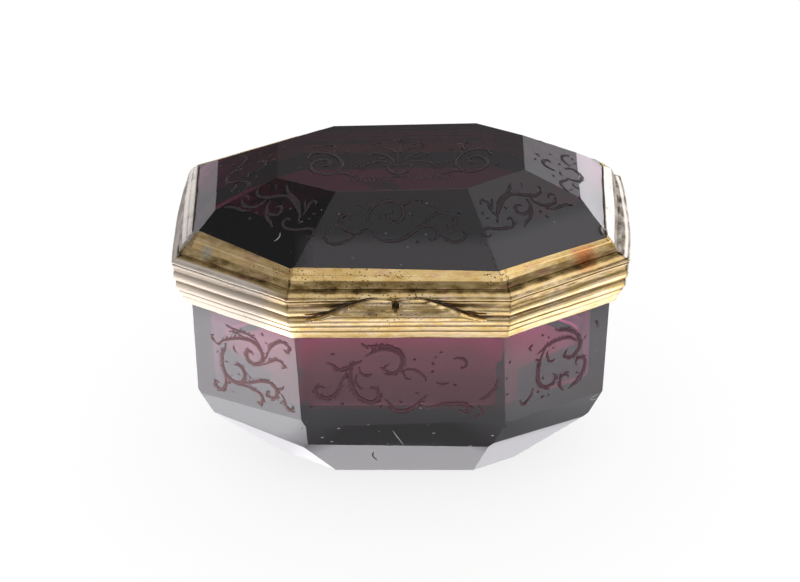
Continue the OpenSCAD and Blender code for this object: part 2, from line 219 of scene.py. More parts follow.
def giltBrass():
    # gilt brass, cast, filed and fire-gilt, long worn: warm, soft-edged, brown in the grooves with painted
    # shade in the rim's cove, painted paler on the left and with a painted reflection at the ends, pitted
    # above
    g = giltLook
    material, add = newMaterial("gilt_brass")
    place = add("TexCoord").outputs["Object"]
    axes = add("SeparateXYZ", {"Vector": place})
    x, z = axes.outputs["X"], axes.outputs["Z"]
    # wear drawn out along the mouldings by rubbing
    drawnOut = add("VectorMath", [place, (1, 1, 3.5)], operation="MULTIPLY")
    worn = add("TexNoise", {"Scale": 1 / (3.4 * mm), "Detail": 7.0, "Roughness": 0.66, "Vector": drawnOut})
    patch = add("TexNoise", {"Scale": 1 / (7 * mm), "Detail": 3.0, "Roughness": 0.55, "Vector": place})
    # dirt in the grooves, and painted shade in the rim's shadowed cove, lie in bands that run level all round
    bottom, top = seamHeight + g["darkBandsFrom"], seamHeight + g["darkBandsTo"]
    level = add("MapRange", {"From": (bottom * mm, top * mm), "Value": z})
    grimeAndShade = add("ValToRGB", {"Fac": level},
                [((seamHeight + height - bottom) / (top - bottom), grey(much)) for height, much in g["dirtAndShade"]])
    # and in the mitred corners
    wide = add("Math", [x], operation="ABSOLUTE")
    deep = add("Math", [axes.outputs["Y"]], operation="ABSOLUTE")
    fromEnd = fromMitre(add, wide, deep, g["endMitre"])
    nearFront = add("Math", [fromMitre(add, deep, wide, g["frontMitre"])], operation="ABSOLUTE")
    nearEnd = add("Math", [fromEnd], operation="ABSOLUTE")
    nearest = add("Math", [nearFront, nearEnd], operation="MINIMUM")
    joint = add("MapRange", {"From": (0.05 * mm, 0.35 * mm), "To": (0.35, 0.0), "Value": nearest})
    blot = add("MapRange", {"From": (0.56, 0.8), "To": (0.0, 0.25), "Value": patch})
    dirtAndShade = add("Math", [blot, grimeAndShade], operation="ADD")
    allDirtAndShade = add("Math", [dirtAndShade, joint], operation="ADD")
    streak = add("MapRange", {"From": (0.3, 0.7), "To": (0.35, 1.3), "Value": worn})
    amount = add("Math", [allDirtAndShade, streak], operation="MULTIPLY", use_clamp=True)
    shade = add("MapRange", {"From": (0.35, 0.65), "Value": worn})
    # thin gilding lets the copper-red ground through here and there
    thin = add("TexNoise", {"Scale": 1 / (5 * mm), "Detail": 4.0, "Vector": drawnOut})
    bare = add("MapRange", {"From": (0.56, 0.68), "To": (0.0, 0.7), "Value": thin})
    # below the bezel the gilding has rubbed thin and pale in patches, and on the left it is painted pale for
    # the light that falls there
    rubbed = add("TexNoise", {"Scale": 1 / (5 * mm), "Detail": 6.0, "Roughness": 0.62, "Vector": drawnOut})
    fade = add("MapRange", {"From": (0.42, 0.6), "To": (0.0, 0.6), "Value": rubbed})
    below = add("MapRange", {"From": ((seamHeight + 0.9) * mm, (seamHeight + 1.15) * mm), "To": (1.0, 0.1),
                             "Value": z})
    # the left side, and the lid's rim there, are painted paler: painted light from the pool of light to the
    # left
    toLeft = add("MapRange", {"From": (-18 * mm, -27 * mm), "Value": x})
    onLid = add("MapRange", {"From": ((seamHeight - 0.6) * mm, (seamHeight + 0.1) * mm), "Value": z})
    atLeft = overlay(add, linear(g["pale"]), [(onLid, linear(g["light"]))])
    tint = overlay(add, linear(g["cream"]), [(toLeft, atLeft)])
    patchy = add("Math", [fade, toLeft], operation="MAXIMUM")
    wearAndLitPaleness = add("Math", [patchy, below], operation="MULTIPLY")
    # the ends of the mounts are painted pale: a painted reflection of the white backdrop at a grazing angle
    paintedEndReflection = add("MapRange", {"From": (0.2 * mm, -0.4 * mm), "To": (0.0, 0.9), "Value": fromEnd})
    films = [(roundPatch(add, place, middle, radius, 0.3, 0.85), linear(colour))
             for middle, radius, colour in g["films"]]
    # the left side is painted lit: less dirt and shade there, and a rougher sheen
    leftSide = add("Math", [toLeft, below], operation="MULTIPLY")
    litLeftDirtShare = add("Math", [leftSide, -0.6, 1.0], operation="MULTIPLY_ADD")
    remaining = add("Math", [amount, litLeftDirtShare], operation="MULTIPLY")
    # corrosion pits, about a quarter of a millimetre across, thickest on the bezel
    cells = add("TexVoronoi", {"Scale": 1 / (0.55 * mm), "Vector": place})
    near = add("MapRange", {"From": (0.16, 0.3), "To": (1.0, 0.0), "Value": cells})
    where = add("MapRange", {"From": (0.56, 0.62), "To": (0.0, 0.5), "Value": patch})
    for middle, radius in g["pitted"]:
        cluster = roundPatch(add, place, middle, radius, 0.8, 1.0)
        where = add("Math", [where, cluster], operation="MAXIMUM")
    picked = add("MapRange", {"From": (0.35, 0.45), "Value": cells.outputs["Color"]})
    spots = add("Math", [near, where], operation="MULTIPLY")
    pits = add("Math", [spots, picked], operation="MULTIPLY")
    coats = [(shade, linear(g["warm"])), (bare, linear(g["copper"])), (wearAndLitPaleness, tint),
             (paintedEndReflection, linear(g["reflectedWhite"])), *films,
             (remaining, linear(g["brown"])), (pits, linear(g["dark"]))]
    colour = overlay(add, linear(g["bright"]), coats)
    lines = add("TexNoise", {"Scale": 1 / (0.5 * mm), "Detail": 5.0, "Vector": place})
    height = add("Math", [pits, -2.0, lines], operation="MULTIPLY_ADD")
    bump = add("Bump", {"Strength": 0.6, "Distance": 0.07 * mm, "Height": height})
    satin = add("Math", [amount, leftSide], operation="MAXIMUM")
    rough = add("MapRange", {"To": g["roughness"], "Value": satin})
    shader = add("BsdfPrincipled", {"Metallic": 1.0, "Base Color": colour, "Roughness": rough,
                                    "Normal": bump})
    add("OutputMaterial", {"Surface": shader})
    return material


# finishes with a plain grain: its size in millimetres, its tones, and its relief's strength and depth
grainLook = {
    # old polish and dirt packed into a gap, also the painted shadow above the thumbpiece: dull brown-black
    "black_dirt_and_shadow": {"grain": 0.8, "detail": 3.0, "tones": [(0.35, "#1C1612"), (0.7, "#4A3B2A")],
                   "roughness": 0.8},
    # drawn brass wire and rolled tube, unplated: yellower and duller than the mounts
    "pin_brass": {"grain": 1.5, "detail": 5.0, "tones": [(0.3, "#7C6238"), (0.7, "#BC9A5C")],
                  "roughness": 0.38, "metallic": 1.0, "relief": (0.3, 0.03)},
    # resin and chalk cement that beds the glass in its mounts: dull brown-grey, grainy
    "bedding_cement": {"grain": 0.4, "detail": 4.0, "tones": [(0.3, "#4A3A30"), (0.7, "#7A6554")],
                       "roughness": 0.85, "relief": (0.6, 0.05)},
}


def grainyFinish(name):
    look = grainLook[name]
    material, add = newMaterial(name)
    place = add("TexCoord").outputs["Object"]
    grain = add("TexNoise", {"Scale": 1 / (look["grain"] * mm), "Detail": look["detail"], "Vector": place})
    tone = add("ValToRGB", {"Fac": grain}, [(at, linear(colour)) for at, colour in look["tones"]])
    surface = {"Base Color": tone, "Roughness": look["roughness"], "Metallic": look.get("metallic", 0.0)}
    if "relief" in look:
        strength, depth = look["relief"]
        surface["Normal"] = add("Bump", {"Strength": strength, "Distance": depth * mm, "Height": grain})
    add("OutputMaterial", {"Surface": add("BsdfPrincipled", surface)})
    return material


finishes = {
    "amethyst_glass": amethystGlass(),
    # one ground finish in three copies: the walls' own tones, a paler copy painted lit for the front-left and
    # back-right walls, and a darker copy painted in shade for the lid
    "ground_wall": groundGlass("ground_amethyst_wall", "#4C2832", "#6C4651"),
    "ground_painted_lit": groundGlass("ground_amethyst_painted_lit", "#7C585C", "#9A787A"),
    "ground_lid_painted_shade": groundGlass("ground_amethyst_lid_painted_shade", "#261B20", "#3D3237"),
    "black_dirt_and_shadow": grainyFinish("black_dirt_and_shadow"),
    "scratched_glass": scratchedGlass(),
    "gilt_brass": giltBrass(),
    "pin_brass": grainyFinish("pin_brass"),
    "bedding_cement": grainyFinish("bedding_cement"),
}
for name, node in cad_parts.items():
    finish = "gilt_brass"
    for word, other in (("glass", "amethyst_glass"), ("cement", "bedding_cement"), ("pin", "pin_brass")):
        if word in name:
            finish = other
    for slot in node.material_slots:
        slot.material = finishes[finish]
print("finishes made")


def newObject(name, shape, material):
    mesh = bpy.data.meshes.new(name)
    shape.to_mesh(mesh)
    shape.free()
    thing = bpy.data.objects.new(name, mesh)
    bpy.context.scene.collection.objects.link(thing)
    mesh.materials.append(material)
    return thing


def addPiece(name, shape, body, finish):
    piece = newObject(name, shape, finishes[finish])
    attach(piece, body)
    return piece


def facetFrame(side, first, second, turn=0.0):
    # a facet through two points of (reach, height), turned a little about its middle:
    # the place of the first point, then the ways across it, up it and out of it
    angle = math.radians(sides[side])
    out = Vector((math.cos(angle), math.sin(angle), 0))
    along = Vector((-out.y, out.x, 0))
    place = (out * first[0] + along * sideShift(side, first[0]) + Vector((0, 0, first[1]))) * mm
    normal = out * (second[1] - first[1]) + Vector((0, 0, first[0] - second[0]))
    if normal.dot(out) < 0:
        normal.negate()
    spin = Matrix.Rotation(math.radians(turn), 3, "Z")
    normal, along = spin @ normal.normalized(), spin @ along
    return place, along, normal.cross(along), normal


def cutFacet(shape, side, first, second, turn=0.0):
    frameOfFacet = facetFrame(side, first, second, turn)
    cutPlane(shape, frameOfFacet[0], frameOfFacet[3])


def cutPlane(shape, point, normal):
    whole = shape.verts[:] + shape.edges[:] + shape.faces[:]
    cut = bmesh.ops.bisect_plane(shape, geom=whole, plane_co=point, plane_no=normal, clear_outer=True,
                                 dist=tiny)
    edges = [g for g in cut["geom_cut"] if isinstance(g, bmesh.types.BMEdge)]
    if edges:
        bmesh.ops.contextual_create(shape, geom=edges)


def bevelEdges(shape, edges, width, segments, clamped=False):
    bmesh.ops.bevel(shape, geom=edges, offset=width * mm, offset_type="OFFSET", segments=segments,
                    profile=0.5, affect="EDGES", material=-1, clamp_overlap=clamped)


def softenEdges(shape, width):
    edges = [e for e in shape.edges if len(e.link_faces) == 2 and e.calc_face_angle(0) > math.radians(8)]
    bevelEdges(shape, edges, width, 2, clamped=True)


def blank(low, high, half=60):
    # a block to cut the glass from
    shape = bmesh.new()
    bmesh.ops.create_cube(shape, size=1.0)
    bmesh.ops.scale(shape, vec=(2 * half * mm, 2 * half * mm, (high - low) * mm), verts=shape.verts)
    bmesh.ops.translate(shape, vec=(0, 0, (high + low) / 2 * mm), verts=shape.verts)
    return shape


bodyGlass = {
    "top": 50.05, "wallInset": 3.55, "footHeight": 18.8, "footInset": 4.1,
    "breakHeight": 12.0, "breakInset": 6.8,
    "baseReach": {"end": 24.0, "oblique": 17.38, "long": 12.1},
    "wall": 3.6, "floorHeight": 20.8, "draft": 0.4,
    "arris": 0.12, "cornerRound": 2.5, "floorRound": 2.2, "roundSteps": 5,
    # cut: how far each facet's top, foot, break and base lie out from the plan, then its planes' turns
    "byEye": {
        "front": (0.0, -0.8, -0.1, 1.3, -0.4, 0.2, -0.4),
        "frontRight": (0.0, -0.4, -0.7, 1.8, -0.1, -0.8, -1.8),
        "frontLeft": (0.0, -1.2, -0.4, 0.5, 0.0, 1.0, -1.9),
        "right": (0.95, 0.15, 0.2, -1.4, 0.0, 0.0, -0.3),
        "left": (0.3, 0.6, -0.1, 1.4, 0.0, 0.0, -0.2),
        "back": (0.0, -0.5, 0.1, 1.0, 0.3, 0.0, 0.5),
        "backLeft": (0.0, -0.5, -0.3, 1.0, 0.0, 0.4, 0.6),
        "backRight": (0.0, -0.6, -0.3, 0.8, 0.1, -0.5, 0.8),
    },
}
lidGlass = {
    "under": seamHeight + 2.6, "girdleOut": 0.35, "lineInset": 3.92, "lineHeight": seamHeight + 4.7,
    "ridgeInset": 8.74, "ridgeHeight": seamHeight + 8.97,
    "tableReach": {"end": 23.9, "oblique": 16.555, "long": 11.9}, "tableHeight": seamHeight + 14.75,
    "tableDrop": 0.2, "tableTilt": (0.020, -0.008), "arris": 0.12,
    # cut: how far out each facet's top edge lies, and its turn
    "byEye": {"front": (-0.1, -1.0), "frontRight": (0.8, -1.2), "backRight": (2.2, 3.0), "back": (0.1, 1.2),
              "backLeft": (0.1, -1.2), "frontLeft": (-0.1, 2.4)},
    # the ends: rise of the ridge, then how far out the upper facet lies at the table and ridge, and the turns
    "ends": {"right": (0.6, 1.0, 1.6, 2.0, 1.6), "left": (0.0, -1.7, -0.4, 0.8, 1.0)},
}
# the lid's mount, in millimetres above the parting line: its rim's top, then the bezel's foot, bevel and lip
mount = {"rimTop": 1.6, "bezelFoot": 1.95, "bevelTop": 3.2, "lip": 4.95, "bezelRise": 3.0, "lipRise": 1.75}
# the mounts as they were filed and bent by hand: how far the corner after each side lies from the plan, in
# millimetres, at the rims, at the bezel's foot and at its lip
cornerShift = {
    "frontLeft": ((0.15, -0.3), (0.2, 0.0), (-0.5, 0.6)),
    "front": ((0.0, -0.3), (-0.5, -0.1), (-1.1, -0.5)),
    "frontRight": ((0.6, 0.0), (-0.5, 0.1), (-0.2, -0.6)),
    "right": ((0.0, 0.0), (0.0, 0.0), (0.1, 0.0)),
    "left": ((0.0, 0.0), (0.0, 0.2), (0.1, 1.5)),
    "backLeft": ((1.25, 0.2), (0.1, 0.0), (0.0, 0.0)),
}
# and how far the two ends bow out in the middle, at the rims and at the bezel's foot
endBow = {"left": (0.55, 0.6), "right": (0.8, 0.5)}


def corner(k, inset, height=0.0):
    # where side k meets the next one, in plan
    lines = []
    for side in (around[k], around[(k + 1) % 8]):
        angle = math.radians(sides[side])
        lines.append((math.cos(angle), math.sin(angle), rimReach[kindOf(side)] - inset))
    (a, b, c), (d, e, f) = lines
    place = Vector(((c * e - b * f) / (a * e - b * d), (a * f - c * d) / (a * e - b * d), 0))
    rimMove, footMove, lipMove = [Vector((x, y, 0)) for x, y in cornerShift.get(around[k], ((0, 0),) * 3)]
    if height < mount["rimTop"]:
        return place + rimMove
    return place + footMove.lerp(lipMove, clamp((height - mount["bezelFoot"]) / mount["bezelRise"]))


def lipLine(k, inset=3.8, height=5.0):
    # the ends of the bezel's lip along side k, in plan
    return corner(k - 1, inset, height), corner(k, inset, height)


def bodyFacets(side):
    # a side's wall and the two chamfers under it, each as its top, its foot and its turn
    g = bodyGlass
    kind = kindOf(side)
    rim = rimReach[kind]
    head, foot, crease, base, *turns = g["byEye"][side]
    lines = [(rim - g["wallInset"] + head, g["top"]), (rim - g["footInset"] + foot, g["footHeight"]),
             (rim - g["breakInset"] + crease, g["breakHeight"]), (g["baseReach"][kind] + base, 0)]
    return list(zip(lines, lines[1:], turns))


def lidFacets(side):
    # a side's facets from the lip up, two at the ends and one elsewhere
    g = lidGlass
    kind = kindOf(side)
    rim = rimReach[kind]
    line = (rim - g["lineInset"], g["lineHeight"])
    if kind == "end":
        rise, tableOut, ridgeOut, turnUpper, turnLower = g["ends"][side]
        ridge = (rim - g["ridgeInset"] + ridgeOut, g["ridgeHeight"])
        return [(line, (rim - g["ridgeInset"], g["ridgeHeight"] + rise), turnLower),
                (ridge, (g["tableReach"][kind] + tableOut, g["tableHeight"]), turnUpper)]
    out, turn = g["byEye"][side]
    return [(line, (g["tableReach"][kind] + out, g["tableHeight"]), turn)]


def tablePlane():
    # a point on the lid's flat top, and the way out of it: it was ground a little out of level
    g = lidGlass
    tilt = Vector((-g["tableTilt"][0], -g["tableTilt"][1], 1)).normalized()
    return Vector((0, 0, (g["tableHeight"] - g["tableDrop"]) * mm)), tilt


def buildBodyGlass():
    g = bodyGlass
    shape = blank(0, g["top"])
    for side in sides:
        for facet in bodyFacets(side):
            cutFacet(shape, side, *facet)
    softenEdges(shape, g["arris"])
    # the well, cut the same way, turned inside out and joined at the top edge
    well = blank(g["floorHeight"], g["top"])
    for side in sides:
        reach = rimReach[kindOf(side)] - g["wallInset"] - g["wall"]
        cutFacet(well, side, (reach, g["top"]), (reach - g["draft"], g["floorHeight"]))
    uprights = [e for e in well.edges if abs(e.verts[0].co.z - e.verts[1].co.z) > 5 * mm]
    bevelEdges(well, uprights, g["cornerRound"], g["roundSteps"])
    low = [e for e in well.edges if max(v.co.z for v in e.verts) < g["floorHeight"] * mm + 1e-6]
    bevelEdges(well, low, g["floorRound"], g["roundSteps"])
    bmesh.ops.reverse_faces(well, faces=well.faces)
    inner = bpy.data.meshes.new("well")
    well.to_mesh(inner)
    well.free()
    shape.from_mesh(inner)
    bpy.data.meshes.remove(inner)
    tops = [f for f in shape.faces
            if abs(f.normal.z) > 0.99 and f.calc_center_median().z > g["top"] * mm - 1e-5]
    rims = [e for f in tops for e in f.edges]
    bmesh.ops.delete(shape, geom=tops, context="FACES_ONLY")
    bmesh.ops.bridge_loops(shape, edges=rims)
    bmesh.ops.recalc_face_normals(shape, faces=shape.faces)
    return shape


def buildLidGlass():
    g = lidGlass
    shape = blank(g["under"], g["tableHeight"] + 2)
    for side in sides:
        # the girdle follows the lip of the mount, just under it
        start, end = lipLine(around.index(side))
        out = Vector((end.y - start.y, start.x - end.x, 0)).normalized()
        cutPlane(shape, (start + out * g["girdleOut"]) * mm, out)
        for facet in lidFacets(side):
            cutFacet(shape, side, *facet)
    cutPlane(shape, *tablePlane())
    softenEdges(shape, g["arris"])
    bmesh.ops.recalc_face_normals(shape, faces=shape.faces)
    return shape


piece = addPiece("casket_body_glass", buildBodyGlass(), "body", "amethyst_glass")
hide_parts("body_glass")
piece = addPiece("casket_lid_glass", buildLidGlass(), "lid", "amethyst_glass")
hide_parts("lid_glass")
print("glass cut")

# every stroke is a width and the points it runs through, in millimetres on its facet, across and up;
# a stroke with one point is a dot
obliqueWall = [
    (0.7, [(7.6, 37.8), (9, 37.3), (11, 37.1), (13, 37.1), (15, 36.6), (16.3, 35.3)]),
    (1.05, [(5.2, 31.8), (6.5, 33.2), (8.5, 34.3), (10.5, 35.1), (12.5, 35.6), (14.3, 35.6), (15.8, 34.8),
            (16.7, 33.2), (16.5, 31.6), (15.4, 30.4), (13.9, 30.1), (12.8, 31.0), (12.7, 32.2), (13.5, 33.0),
            (14.4, 32.4)]),
    (0.6, [(8.4, 36.2), (9.8, 36.4), (11.8, 36.3)]),
    (0.7, [(4.5, 34.1), (3.8, 33.5), (4.3, 32.6), (5.4, 31.9)]),
    (0.95, [(7.3, 33), (7.0, 31.5), (6.3, 30.2), (6.0, 28.5), (6.1, 26.5), (6.7, 25.1), (7.9, 24.1),
            (9.4, 23.8), (10.8, 24.5), (11.6, 25.8), (11.5, 27.2), (10.8, 28.2), (9.8, 28.4), (9, 28.0)]),
    (0.9, [(6.3, 26.5), (6.5, 23.8), (6.1, 21.8), (5.2, 20.7), (4.2, 20.7), (3.6, 21.5), (4.0, 22.3),
           (4.7, 22.1)]),
    (1.0, [(10.2, 23.8), (12.5, 24.6), (14.5, 25.6), (16.3, 26.4), (18, 26.5), (19.3, 25.8), (19.8, 24.6),
           (19.2, 23.2), (18, 22.8), (17.2, 23.6), (17.9, 24.3)]),
    (1.0, [(9, 23.5), (12.5, 23.5), (14.5, 23.2), (15.6, 22.4), (15.7, 21.1), (15.0, 20.4), (14.3, 20.5)]),
    (0.75, [(19.3, 25.5), (20.8, 25.8), (21.8, 26.8)]),
    (0.75, [(20.8, 24.7), (21.6, 23.5), (21.9, 22.1), (22.8, 21.4), (23.7, 21.8), (23.6, 22.6)]),
    (0.85, [(17.6, 32.4), (18.6, 35), (19.6, 36.2), (21, 37.5), (22.2, 38), (23.4, 37.6), (23.7, 36.6),
            (23, 35.9), (22.3, 36.2)]),
    (0.75, [(16.9, 30.7), (18.2, 31.6), (19.4, 32.5), (20.6, 33.0), (21.8, 32.5), (22.1, 31.7),
            (21.4, 31.3)]),
    (0.65, [(9.4, 33), (9.4, 31.9), (10.3, 31.4)]), (0.65, [(7.6, 25.0), (8.5, 25.2)]), (0.8, [(17.1, 38.2)]),
    (0.8, [(17.9, 36.4)]), (0.7, [(4.9, 30.1)]), (0.8, [(13.1, 26.2)]), (0.6, [(7.1, 28.2)]),
    (0.8, [(7.5, 23.0)]), (0.6, [(8.1, 21.0)]), (0.8, [(20.6, 22.4)]), (0.5, [(10.1, 26.1)]),
]
otherWall = [
    (0.9, [(12.6, 38.2), (13.6, 37.4), (15, 37.1), (16.4, 36.5), (17.8, 35.4), (18.8, 33.8), (19.0, 32.2),
           (18.4, 30.8), (17.2, 30.0), (15.9, 30.3), (15.3, 31.2), (15.9, 31.9)]),
    (0.9, [(8.3, 33.5), (9.8, 34.1), (11.3, 34.8), (13, 35.2), (15, 35.1), (16.8, 34.6), (18.3, 33.4)]),
    (0.75, [(10.8, 33.3), (10.9, 32), (11.3, 30.9), (12.2, 30.4), (12.9, 30.8)]),
    (0.95, [(10.2, 34), (9.3, 32.3), (9.0, 30.8), (8.8, 29), (8.7, 27.3), (9.2, 25.8), (10.2, 24.8),
            (11.6, 24.6), (12.8, 25.4), (13.1, 26.5), (12.4, 27.3)]),
    (0.7, [(7.1, 36.2), (6.4, 35.4), (6.8, 34.6)]),
    (0.85, [(7.5, 25.2), (6.9, 23.6), (5.9, 22.5), (4.8, 22.3), (4.2, 23.3)]),
    (0.8, [(15.3, 22.2), (14.5, 23.5), (14.4, 25), (15, 26), (16.2, 25.9), (16.4, 25)]),
    (1.0, [(18.4, 27.4), (18.3, 28.5), (19.2, 29), (20.3, 28.4), (20.5, 26.8), (20, 25.2), (19, 24),
           (17.8, 23), (16.6, 22.2)]),
    (0.7, [(22.7, 36.8), (23.4, 36.0), (23.3, 35.1)]), (0.6, [(20.6, 34.2), (20.1, 33.1)]),
    (0.9, [(9.5, 37.6)]), (0.7, [(11, 36.6)]), (0.8, [(8.1, 32.1)]), (0.8, [(8.8, 24)]), (0.8, [(9.9, 22.4)]),
    (0.6, [(11.4, 22.3)]), (0.8, [(9.9, 27)]), (0.7, [(18.6, 25.6)]), (0.6, [(12.4, 33.6)]),
]
frontWall = [
    (0.9, [(-7.4, 38.9), (-6.8, 38.2), (-5, 38.1), (-3, 38.1), (-1.3, 37.6), (0, 36.6), (0.5, 35),
           (0.3, 33.4), (-0.4, 31.9), (-1.5, 31.4), (-2.6, 31.9), (-2.9, 33), (-2.2, 33.5)]),
    (0.8, [(-6.6, 35.6), (-5.5, 36.4), (-4.3, 37.0), (-2.5, 37.2), (-1, 36.8), (0.1, 35.6)]),
    (0.9, [(-14.2, 34.0), (-13, 33.4), (-11.9, 32.4), (-10.7, 32.7), (-9.6, 33.1), (-8.5, 33.9),
           (-7.2, 34.5)]),
    (1.05, [(-9.2, 33.4), (-9.6, 31), (-9.5, 29), (-9.0, 27), (-8.2, 25.6), (-6.8, 24.6), (-5.3, 24.3),
            (-4.4, 25.2), (-4.2, 26.4), (-4.9, 27.6), (-6, 28.0)]),
    (0.7, [(-8.5, 31), (-8.6, 29), (-8, 28), (-7.2, 27.3)]),
    (0.75, [(-7.9, 33), (-7.5, 31.4), (-6.3, 30.8), (-5.4, 31.3)]),
    (0.9, [(-10.2, 31.5), (-11.5, 29), (-12.2, 27), (-13.3, 25.6), (-14.8, 25.3), (-16.2, 26.2),
           (-16.5, 27.4), (-15.5, 28.1), (-14.7, 27.6)]),
    (0.75, [(0.6, 32), (1, 30.6), (1.5, 30), (2.3, 29.9)]),
    (0.75, [(0.8, 32.2), (2.2, 32.4), (3.6, 31.8), (4.6, 30.8), (5.2, 29.4)]),
    (0.85, [(-3, 25.0), (-2, 23.8), (-1.2, 22.5), (0, 22.1), (1.6, 22.4), (3, 23.5), (4.4, 25), (5.4, 26.2)]),
    (0.9, [(5.2, 22.8), (7.5, 23.6), (9.5, 23.8), (11.5, 23.9), (13, 23.5), (13.5, 22.6), (12.6, 21.9),
           (11.4, 22.3)]),
    (0.75, [(15.3, 23.6), (15.9, 22.2), (15.6, 21), (14.8, 20.6)]),
    (0.85, [(19.0, 30), (18.8, 28.4), (17.8, 26.8), (16.6, 25.5), (15.6, 24.8)]),
    (0.8, [(10.4, 34.9), (11.7, 35.2), (12.8, 34.4), (12.9, 33.2), (11.8, 32.6)]),
    (0.7, [(6.9, 29.4), (8.2, 28.7), (9.6, 29.3)]), (0.9, [(-15.3, 26.2)]), (0.9, [(-17.4, 23.0)]),
    (1.0, [(-11.3, 23.8)]), (0.9, [(-3.8, 23.0)]), (1.0, [(0.1, 24.2)]), (0.8, [(3.3, 26.6)]),
    (0.7, [(4.0, 23.5)]), (0.8, [(6.5, 33.8)]), (0.8, [(6.4, 31.8)]), (0.6, [(7, 35.4)]),
    (0.6, [(8.1, 36.6)]), (0.8, [(10.8, 28.5)]), (0.7, [(-12.9, 36.1)]), (0.7, [(2.9, 34.8)]),
]
obliqueLid = [
    (0.9, [(-6.5, 13.8), (-6.3, 12.9), (-5.4, 12.1), (-4.2, 12.1), (-3, 12.6), (-1.5, 13.4), (0, 13.7),
           (1.2, 13.3), (2.6, 12.4), (3.8, 11.6), (4.9, 10.6), (5.6, 9.5), (6.2, 9.0)]),
    (0.8, [(-2, 15.9), (-1.4, 15.2), (-0.4, 14.4), (1, 13.9), (2.3, 13.3), (3.5, 12.3), (4.6, 11.0)]),
    (0.9, [(-2.5, 11.9), (-2.3, 10.6), (-1.2, 9.4), (0, 9.2), (0.9, 9.8), (0.8, 10.8), (0, 11.3),
           (-0.6, 10.9)]),
    (0.8, [(-2.6, 11), (-1.5, 9.1), (-0.5, 8.2), (0.8, 7.5), (1.9, 6.7)]),
    (0.75, [(-8.2, 10.9), (-7.4, 11.4), (-6.5, 10.8)]),
    (0.9, [(-8, 10.5), (-7, 9.6), (-5.6, 9.4), (-4.3, 9.9), (-3.6, 11), (-3.4, 12.1)]),
    (0.85, [(-10, 7.9), (-9, 8.4), (-7.5, 8.5), (-6, 8.4), (-4.6, 8.9)]),
    (0.8, [(3.9, 9.1), (3.1, 9.3), (3.0, 8.2), (3.8, 7.5), (5, 7.4), (6.5, 7.7), (8, 8.4), (9.2, 8.6),
           (10.0, 7.8), (9.6, 6.9), (8.8, 7.2)]),
    (0.8, [(5.4, 10.6), (5.2, 12.4), (4.9, 13.6), (5.5, 14.3), (6.3, 13.6)]),
    (0.6, [(3.6, 13.9), (4.3, 13), (4.9, 11.9)]), (0.6, [(-3.9, 15.3), (-3.2, 14.3)]), (0.9, [(-3.2, 8.7)]),
    (1.0, [(-3.6, 7.3)]), (0.8, [(7.3, 11.7)]), (0.7, [(7.1, 10.5)]), (0.8, [(2.3, 11.4)]),
]
frontLid = [
    (0.9, [(-5.5, 8.2), (-6, 10.2), (-5.2, 12.2), (-3.2, 13.5), (-1, 13.5), (0.6, 12.4), (0.8, 10.6),
           (-0.3, 9.4), (-1.8, 9.6), (-2.2, 10.9), (-1.3, 11.5)]),
    (0.9, [(-5.6, 9), (-4.8, 7), (-3, 5.8), (-1, 5.6), (1, 6.2), (3, 7.6), (4.6, 8.6), (6.4, 8.6), (7.4, 7.4),
           (6.8, 6.1), (5.6, 6.3)]),
    (0.8, [(-6, 8), (-8, 7.2), (-10, 7.8), (-11.2, 9.2), (-10.8, 10.6), (-9.6, 10.8), (-9.2, 9.8)]),
    (0.8, [(-8, 7.2), (-10, 5.6), (-12.4, 5), (-14, 5.8), (-14, 7), (-13.1, 7.4)]),
    (0.8, [(4.6, 8.6), (6, 10.4), (8, 11.4), (10, 10.8), (10.8, 9.4), (10, 8.3), (9, 8.9)]),
    (0.8, [(7.4, 7.4), (9.4, 5.8), (11.6, 5.6), (12.8, 6.8), (12.2, 7.9)]),
    (0.7, [(0.6, 12.4), (2, 13.6), (3.6, 14.1), (4.6, 13.3)]),
    (0.8, [(-7.6, 12.6)]), (0.7, [(-12, 8.6)]), (0.8, [(2.6, 10.6)]), (0.8, [(3.6, 5.4)]),
    (0.8, [(11.4, 11.4)]), (0.7, [(6.6, 12.8)]), (0.8, [(-3.6, 10.4)]),
]
endLid = [
    (1.0, [(-2.2, 5), (-2.0, 3.2), (-1.2, 1.8), (0, 1.3), (1.2, 1.7), (2, 2.8), (1.9, 4.2), (1.2, 4.9)]),
    (0.7, [(-1.9, 5.7), (-1.3, 6.2), (-0.6, 6.2)]),
    (0.95, [(-0.9, 7.3), (-0.8, 8.9), (0, 9.7), (1.1, 9.6), (1.9, 8.8), (1.5, 8.0)]),
    (0.7, [(2.4, 11.5), (2.7, 10.9), (1.9, 10.4)]), (0.8, [(0.5, 11.5)]),
    (0.9, [(-7, 4.8), (-6.2, 5.8), (-5, 6.3), (-3.8, 5.8), (-2.8, 4.7)]),
    (0.7, [(-6.4, 4.5), (-5.5, 3.8)]),
    (0.8, [(-3, 3.4), (-4, 3.4), (-4.4, 2.6), (-3.9, 2.2)]),
    (0.8, [(-7.6, 2.4)]), (0.9, [(-3.2, 7.8)]),
    (0.9, [(3, 3.5), (3.6, 4.8), (4.9, 5.4), (6.2, 4.8), (6.7, 3.7)]),
    (0.7, [(4.2, 3.0), (5, 2.2)]), (0.9, [(2.1, 6.1)]), (0.8, [(6, 3.0)]), (0.7, [(4.6, 8.0)]),
]


